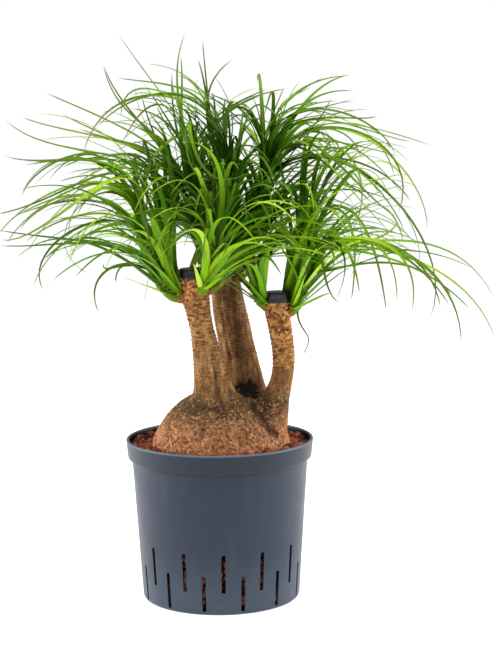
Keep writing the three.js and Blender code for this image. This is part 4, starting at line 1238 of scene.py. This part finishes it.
def grow_leaves():
    """The solids' leaves, by the same rule: stems first, then the outline, then the filling in turns."""
    leaves = {name: [] for name in SHOOTS}
    rows = []
    for owner, shoot in enumerate(SHOOTS.values()):
        share = np.arange(STEM["samples"]) / (STEM["samples"] - 1)
        points = bezier(np.array(shoot["stem"], float), share)
        half = mix(STEM["base"], STEM["tip"], share)
        rows.append(np.column_stack([points, half, 0 * share, 0 * share + owner]))
    taken = np.concatenate(rows)

    def settle(name, variants, space):
        nonlocal taken
        owner = list(SHOOTS).index(name)
        for leaf in variants:
            samples = blade_samples(leaf)
            if in_open_air(samples[BLADE["samples"] // 2:], space) and is_clear(owner, samples, taken):
                taken = np.concatenate([taken, np.column_stack([samples, np.full(len(samples), owner)])])
                leaves[name].append(leaf)
                return

    for name, shoot in SHOOTS.items():
        for leaf in shoot["outline"]:
            variants = (outline_leaf(shoot, leaf, attempt) for attempt in range(TRIES["outline"]))
            settle(name, variants, CROWN)
    for index in range(max(shoot["leaves"] for shoot in SHOOTS.values())):
        for name, shoot in SHOOTS.items():
            if index < shoot["leaves"] - len(shoot["outline"]):
                age = 1 - index / (shoot["leaves"] - 1)
                first = shoot["seed"] * DRAWS["shoot"] + index * DRAWS["leaf"]
                settle(name, (
                    filling_leaf(shoot, first + attempt, GOLDEN_TURN * index, age, attempt)
                    for attempt in range(TRIES["filling"])
                ), FILLING)
    return leaves


def shortened(control, share):
    """The control points of a cubic's first part: neighbours are mixed by share, three times over."""
    first = mix(control[:-1], control[1:], share)
    second = mix(first[:-1], first[1:], share)
    return np.array([control[0], first[0], second[0], mix(second[0], second[1], share)])


def fine_leaves(shoot, outline, random, side):
    """Companions beside the outline's leaves, others between, and short ones that hide the stem."""
    found = []
    for leaf in outline:
        for _ in range(COMPANION["count"][side]):
            away = random.normal(0, 1, (4, 3)) * np.array(COMPANION["away"])[:, None]
            near = {
                "curve": shortened(leaf["curve"], random.uniform(*COMPANION["length"])) + away,
                "width": leaf["width"] * random.uniform(*COMPANION["width"]),
                "twist": leaf["twist"] * random.uniform(*COMPANION["twist"]),
                "broad": BROAD["companion"],
            }
            free = in_open_air(blade_samples(near)[BLADE["samples"] // 2:], CROWN)
            if leaf["width"] > BLADE["withered"] and free:
                found.append(near)
    short = {**shoot, "reach": shoot["reach"] * FINE["reach"]}
    for index in range(FINE["count"][side]):
        age = draw(shoot["seed"] * 100 + index, 9)
        for attempt in range(TRIES["fine"]):
            number = DRAWS["fine"] + shoot["seed"] * DRAWS["shoot"] + index * DRAWS["leaf"] + attempt
            leaf = filling_leaf(short, number, GOLDEN_TURN * (index + 0.5), age, attempt)
            leaf["width"] *= mix(*FINE["width"], draw(number, 8))
            if in_open_air(blade_samples(leaf)[BLADE["samples"] // 2:], FILLING):
                found.append(leaf)
                break
    near_stem = {**CROWN, "low": (*CROWN["low"][:2], SHEATH["low"])}
    along, lift = np.array([[0], [1], [2], [2.8]]), np.array([[0], [0], [SHEATH["lift"]], [0]])
    for index in range(SHEATH["count"]):
        number = DRAWS["sheath"] + shoot["seed"] * DRAWS["sheath_shoot"] + index
        age = mix(*SHEATH["age"], index / SHEATH["count"])
        leaf = filling_leaf(shoot, number, GOLDEN_TURN * index, age, 0)
        root, start = leaf["curve"][0], unit(leaf["curve"][1] - leaf["curve"][0])
        leaf["curve"] = root + mix(*SHEATH["long"], draw(number, 10)) * (start * along + lift * [0, 0, 1])
        leaf["width"] = mix(*SHEATH["width"], draw(number, 11))
        if in_open_air(blade_samples(leaf)[BLADE["samples"]:], near_stem):
            found.append(leaf)
    return found


# A leaf's section: across in half widths, height in thicknesses, from the right edge round below.
SECTION = np.array([[1, 0.0], [0, -0.5], [-1, 0.0], [-0.5, 0.4], [0, 0.5], [0.5, 0.4]])


def leaf_blades(leaves, random):
    """All leaves of a shoot as tubes. Each section is a thin lens, folded to a channel at its root.

    At the root each is broad, where it clasps its stem. Past it a broad leaf is nearly as wide as
    the solid's, and the others run out thinner, by their "broad" share. Withered ones are shrunk.
    The section turns along the leaf, and its edges ripple a little.
    """
    curve = np.array([leaf["curve"] for leaf in leaves])
    width = np.array([leaf["width"] for leaf in leaves])[:, None]
    withered = width <= BLADE["withered"]
    width = np.where(withered, width * BLADE["shrunk"], width)
    twist = np.array([leaf["twist"] for leaf in leaves])[:, None, None]
    broad = np.array([leaf.get("broad", BROAD["outline"]) for leaf in leaves])[:, None]
    share = np.linspace(0, 1, BLADE["rows"] + 1)[:-1] ** BLADE["crowd"]
    centre, along = bezier(curve, share), heading(curve, share)
    run = curve[:, 3] - curve[:, 0]
    across = np.stack([run[:, 1], -run[:, 0], 0 * run[:, 0]], -1)[:, None]
    side = unit(across - along * np.sum(across * along, -1, keepdims=True))
    up = np.cross(side, along)
    angle = twist * share[:, None] ** 0.7
    side, up = side * np.cos(angle) - up * np.sin(angle), up * np.cos(angle) + side * np.sin(angle)
    full = mix((1 - share) ** BLADE["run_out"], 1 - share ** BLADE["taper"], broad)
    full = (width * BLADE["slim"] - BLADE["tip"]) * full + BLADE["tip"]
    half = (full + BLADE["clasp"] * np.exp(-share / BLADE["clasp_end"])) / 2
    fold = mix(*BLADE["fold"], random.uniform(0, 1, width.shape))
    fold = fold + BLADE["channel"] * np.exp(-share / BLADE["channel_end"])
    thick = BLADE["thick"] * mix(1.3, 0.5, share)
    wave = np.sin(share * BLADE["waves"] + random.uniform(0, 6, width.shape))
    ripple = BLADE["ripple"] * wave * (1 - share)
    offset = half[..., None] * SECTION[:, 0]
    lift = thick[:, None] * SECTION[:, 1] + (half * fold)[..., None] * np.abs(SECTION[:, 0])
    lift = lift + ripple[..., None] * SECTION[:, 0]
    rings = centre[:, :, None] + offset[..., None] * side[:, :, None] + lift[..., None] * up[:, :, None]
    tone = np.clip(random.normal(*BLADE["tone"], (len(leaves), 1, 1)), 0, 0.95)
    shape = np.zeros(rings.shape[:3])
    dry = share * (1 - 0.55 * broad) + 0.5 * withered
    deep = np.sum(((rings - SHADED["place"]) / SHADED["size"]) ** 2, -1)
    shaded = 1 - smooth_step(*SHADED["edge"], deep + 0.25 * noise(rings, 45, 41))
    values = {
        "along": tube_values(shape + share[:, None], 0.0, 1.0),
        "dry": tube_values(shape + dry[:, :, None], 0.0, dry[:, -1]),
        "across": tube_values(shape + SECTION[:, 0], 0.0, 0.0),
        "tone": tube_values(shape + tone, tone.ravel(), tone.ravel()),
        "woody": tube_values(shape, 0.0, 0.0),
        "shaded": tube_values(shaded, shaded[:, 0, 0], shaded[:, -1, 0]),
    }
    return tubes(rings, curve[:, 0], curve[:, 3]), values


def shoot_stem(shoot, random):
    """A shoot's stem: a tapering tube with a low collar where each leaf leaves it."""
    stem = np.array(shoot["stem"], float)
    share = np.linspace(0, 1, 40)
    centre, along = bezier(stem, share), heading(stem, share)
    lean = np.array([0.3, 1, 0])
    side = unit(lean - along * (along @ lean)[:, None])
    up = np.cross(along, side)
    angle = full_turn(14)
    collar = 1 + 0.1 * np.abs(np.sin(share * 22 + random.uniform(0, 3)))[:, None]
    oval = 1 + 0.05 * np.cos(2 * angle + share[:, None] * 30)
    radius = mix(STEM["base"], STEM["tip"], share)[:, None] * collar * oval
    rings = centre[:, None] + radius[..., None] * (
        side[:, None] * np.cos(angle)[:, None] + up[:, None] * np.sin(angle)[:, None]
    )
    shape = np.zeros((1, len(share), len(angle)))
    woody = 1 - smooth_step(*STEM["woody"], share)[:, None]
    values = {
        "along": tube_values(shape + 0.05 + 0.1 * share[:, None], 0.0, 0.15),
        "dry": tube_values(shape, 0.0, 0.0),
        "across": tube_values(shape + 0.3, 0.3, 0.3),
        "tone": tube_values(shape + 0.4, 0.4, 0.4),
        "woody": tube_values(shape + woody, 1.0, 0.0),
        "shaded": tube_values(shape, 0.0, 0.0),
    }
    return tubes(rings[None], centre[:1], centre[-1:]), values


def leafy_shoots():
    """Each shoot's leaves and its stem, joined as one piece."""
    material = leaf()
    for name, leaves in grow_leaves().items():
        shoot = SHOOTS[name]
        random = np.random.default_rng(shoot["seed"])
        outline = leaves[:len(shoot["outline"])]
        leaves = leaves + fine_leaves(shoot, outline, random, name.split("_")[0])
        blades, blade_values = leaf_blades(leaves, random)
        stem, stem_values = shoot_stem(shoot, random)
        points, faces = joined([blades, stem])
        values = {key: np.concatenate([blade_values[key], stem_values[key]]) for key in blade_values}
        piece = make_piece(f"leaves_{name}", points, faces, material, values, sharp=60)
        seat(piece, "leaf", f"shoot_{name}")


# ------------------------------------------------------------------ stage

def aim(thing, side, top, away, place):
    """The camera or a lamp, with its X, Y and Z axes along these and its place in metres."""
    bpy.context.scene.collection.objects.link(thing)
    rows = np.column_stack([side, top, away, place])
    thing.matrix_world = Matrix([*rows.tolist(), [0, 0, 0, 1]])


def make_camera():
    """The photograph's view: 2.2 m in front, above the rim, tilted down 8 degrees."""
    down, right, roll = (math.radians(CAMERA[key]) for key in ("down", "right", "roll"))
    ahead = np.array([math.sin(right) * math.cos(down), math.cos(right) * math.cos(down), -math.sin(down)])
    level = np.array([math.cos(right), -math.sin(right), 0.0])
    upward = np.cross(level, ahead)
    side = level * math.cos(roll) + upward * math.sin(roll)
    top = upward * math.cos(roll) - level * math.sin(roll)
    data = bpy.data.cameras.new("camera")
    data.sensor_width = CAMERA["sensor"]
    data.lens = CAMERA["sensor"] * CAMERA["focal_px"] / CAMERA["frame_px"]
    data.clip_end = 50
    camera = bpy.data.objects.new("camera", data)
    aim(camera, side, top, -ahead, np.array(CAMERA["place"]) * MM)
    bpy.context.scene.camera = camera


def make_light(name, place, target, watts):
    """A square soft box at a place in metres, turned to its target."""
    data = bpy.data.lights.new(name, "AREA")
    data.size = LIGHT_SIZE
    data.energy = watts
    away = unit(np.subtract(place, target))
    side = unit(np.cross([0, 0, 1.0], away))
    aim(bpy.data.objects.new(name, data), side, np.cross(away, side), away, place)


def make_stage():
    """A pale floor, a white surround, two soft boxes at the sides and one above."""
    corners = FLOOR * np.array([[-1, -1, 0], [1, -1, 0], [1, 1, 0], [-1, 1, 0]], float)
    floor = make_piece("floor", corners, [np.array([[0, 1, 2, 3]])], floor_paper())
    world = bpy.data.worlds.new("surround")
    world.use_nodes = True
    nodes, links = world.node_tree.nodes, world.node_tree.links
    seen, ray = nodes.new("ShaderNodeMapRange"), nodes.new("ShaderNodeLightPath")
    seen.inputs["To Min"].default_value = AMBIENT
    links.new(ray.outputs["Is Camera Ray"], seen.inputs["Value"])
    links.new(seen.outputs[0], nodes["Background"].inputs["Strength"])
    nodes["Background"].inputs["Color"].default_value = (1, 1, 1, 1)
    bpy.context.scene.world = world
    for name, (place, target, watts) in LIGHTS.items():
        make_light(name, place, target, watts)
    bpy.context.scene.view_settings.view_transform = "Standard"


make_camera()
make_stage()
culture_pot()
clay_granulate()
trunk()
cut_seals()
leafy_shoots()
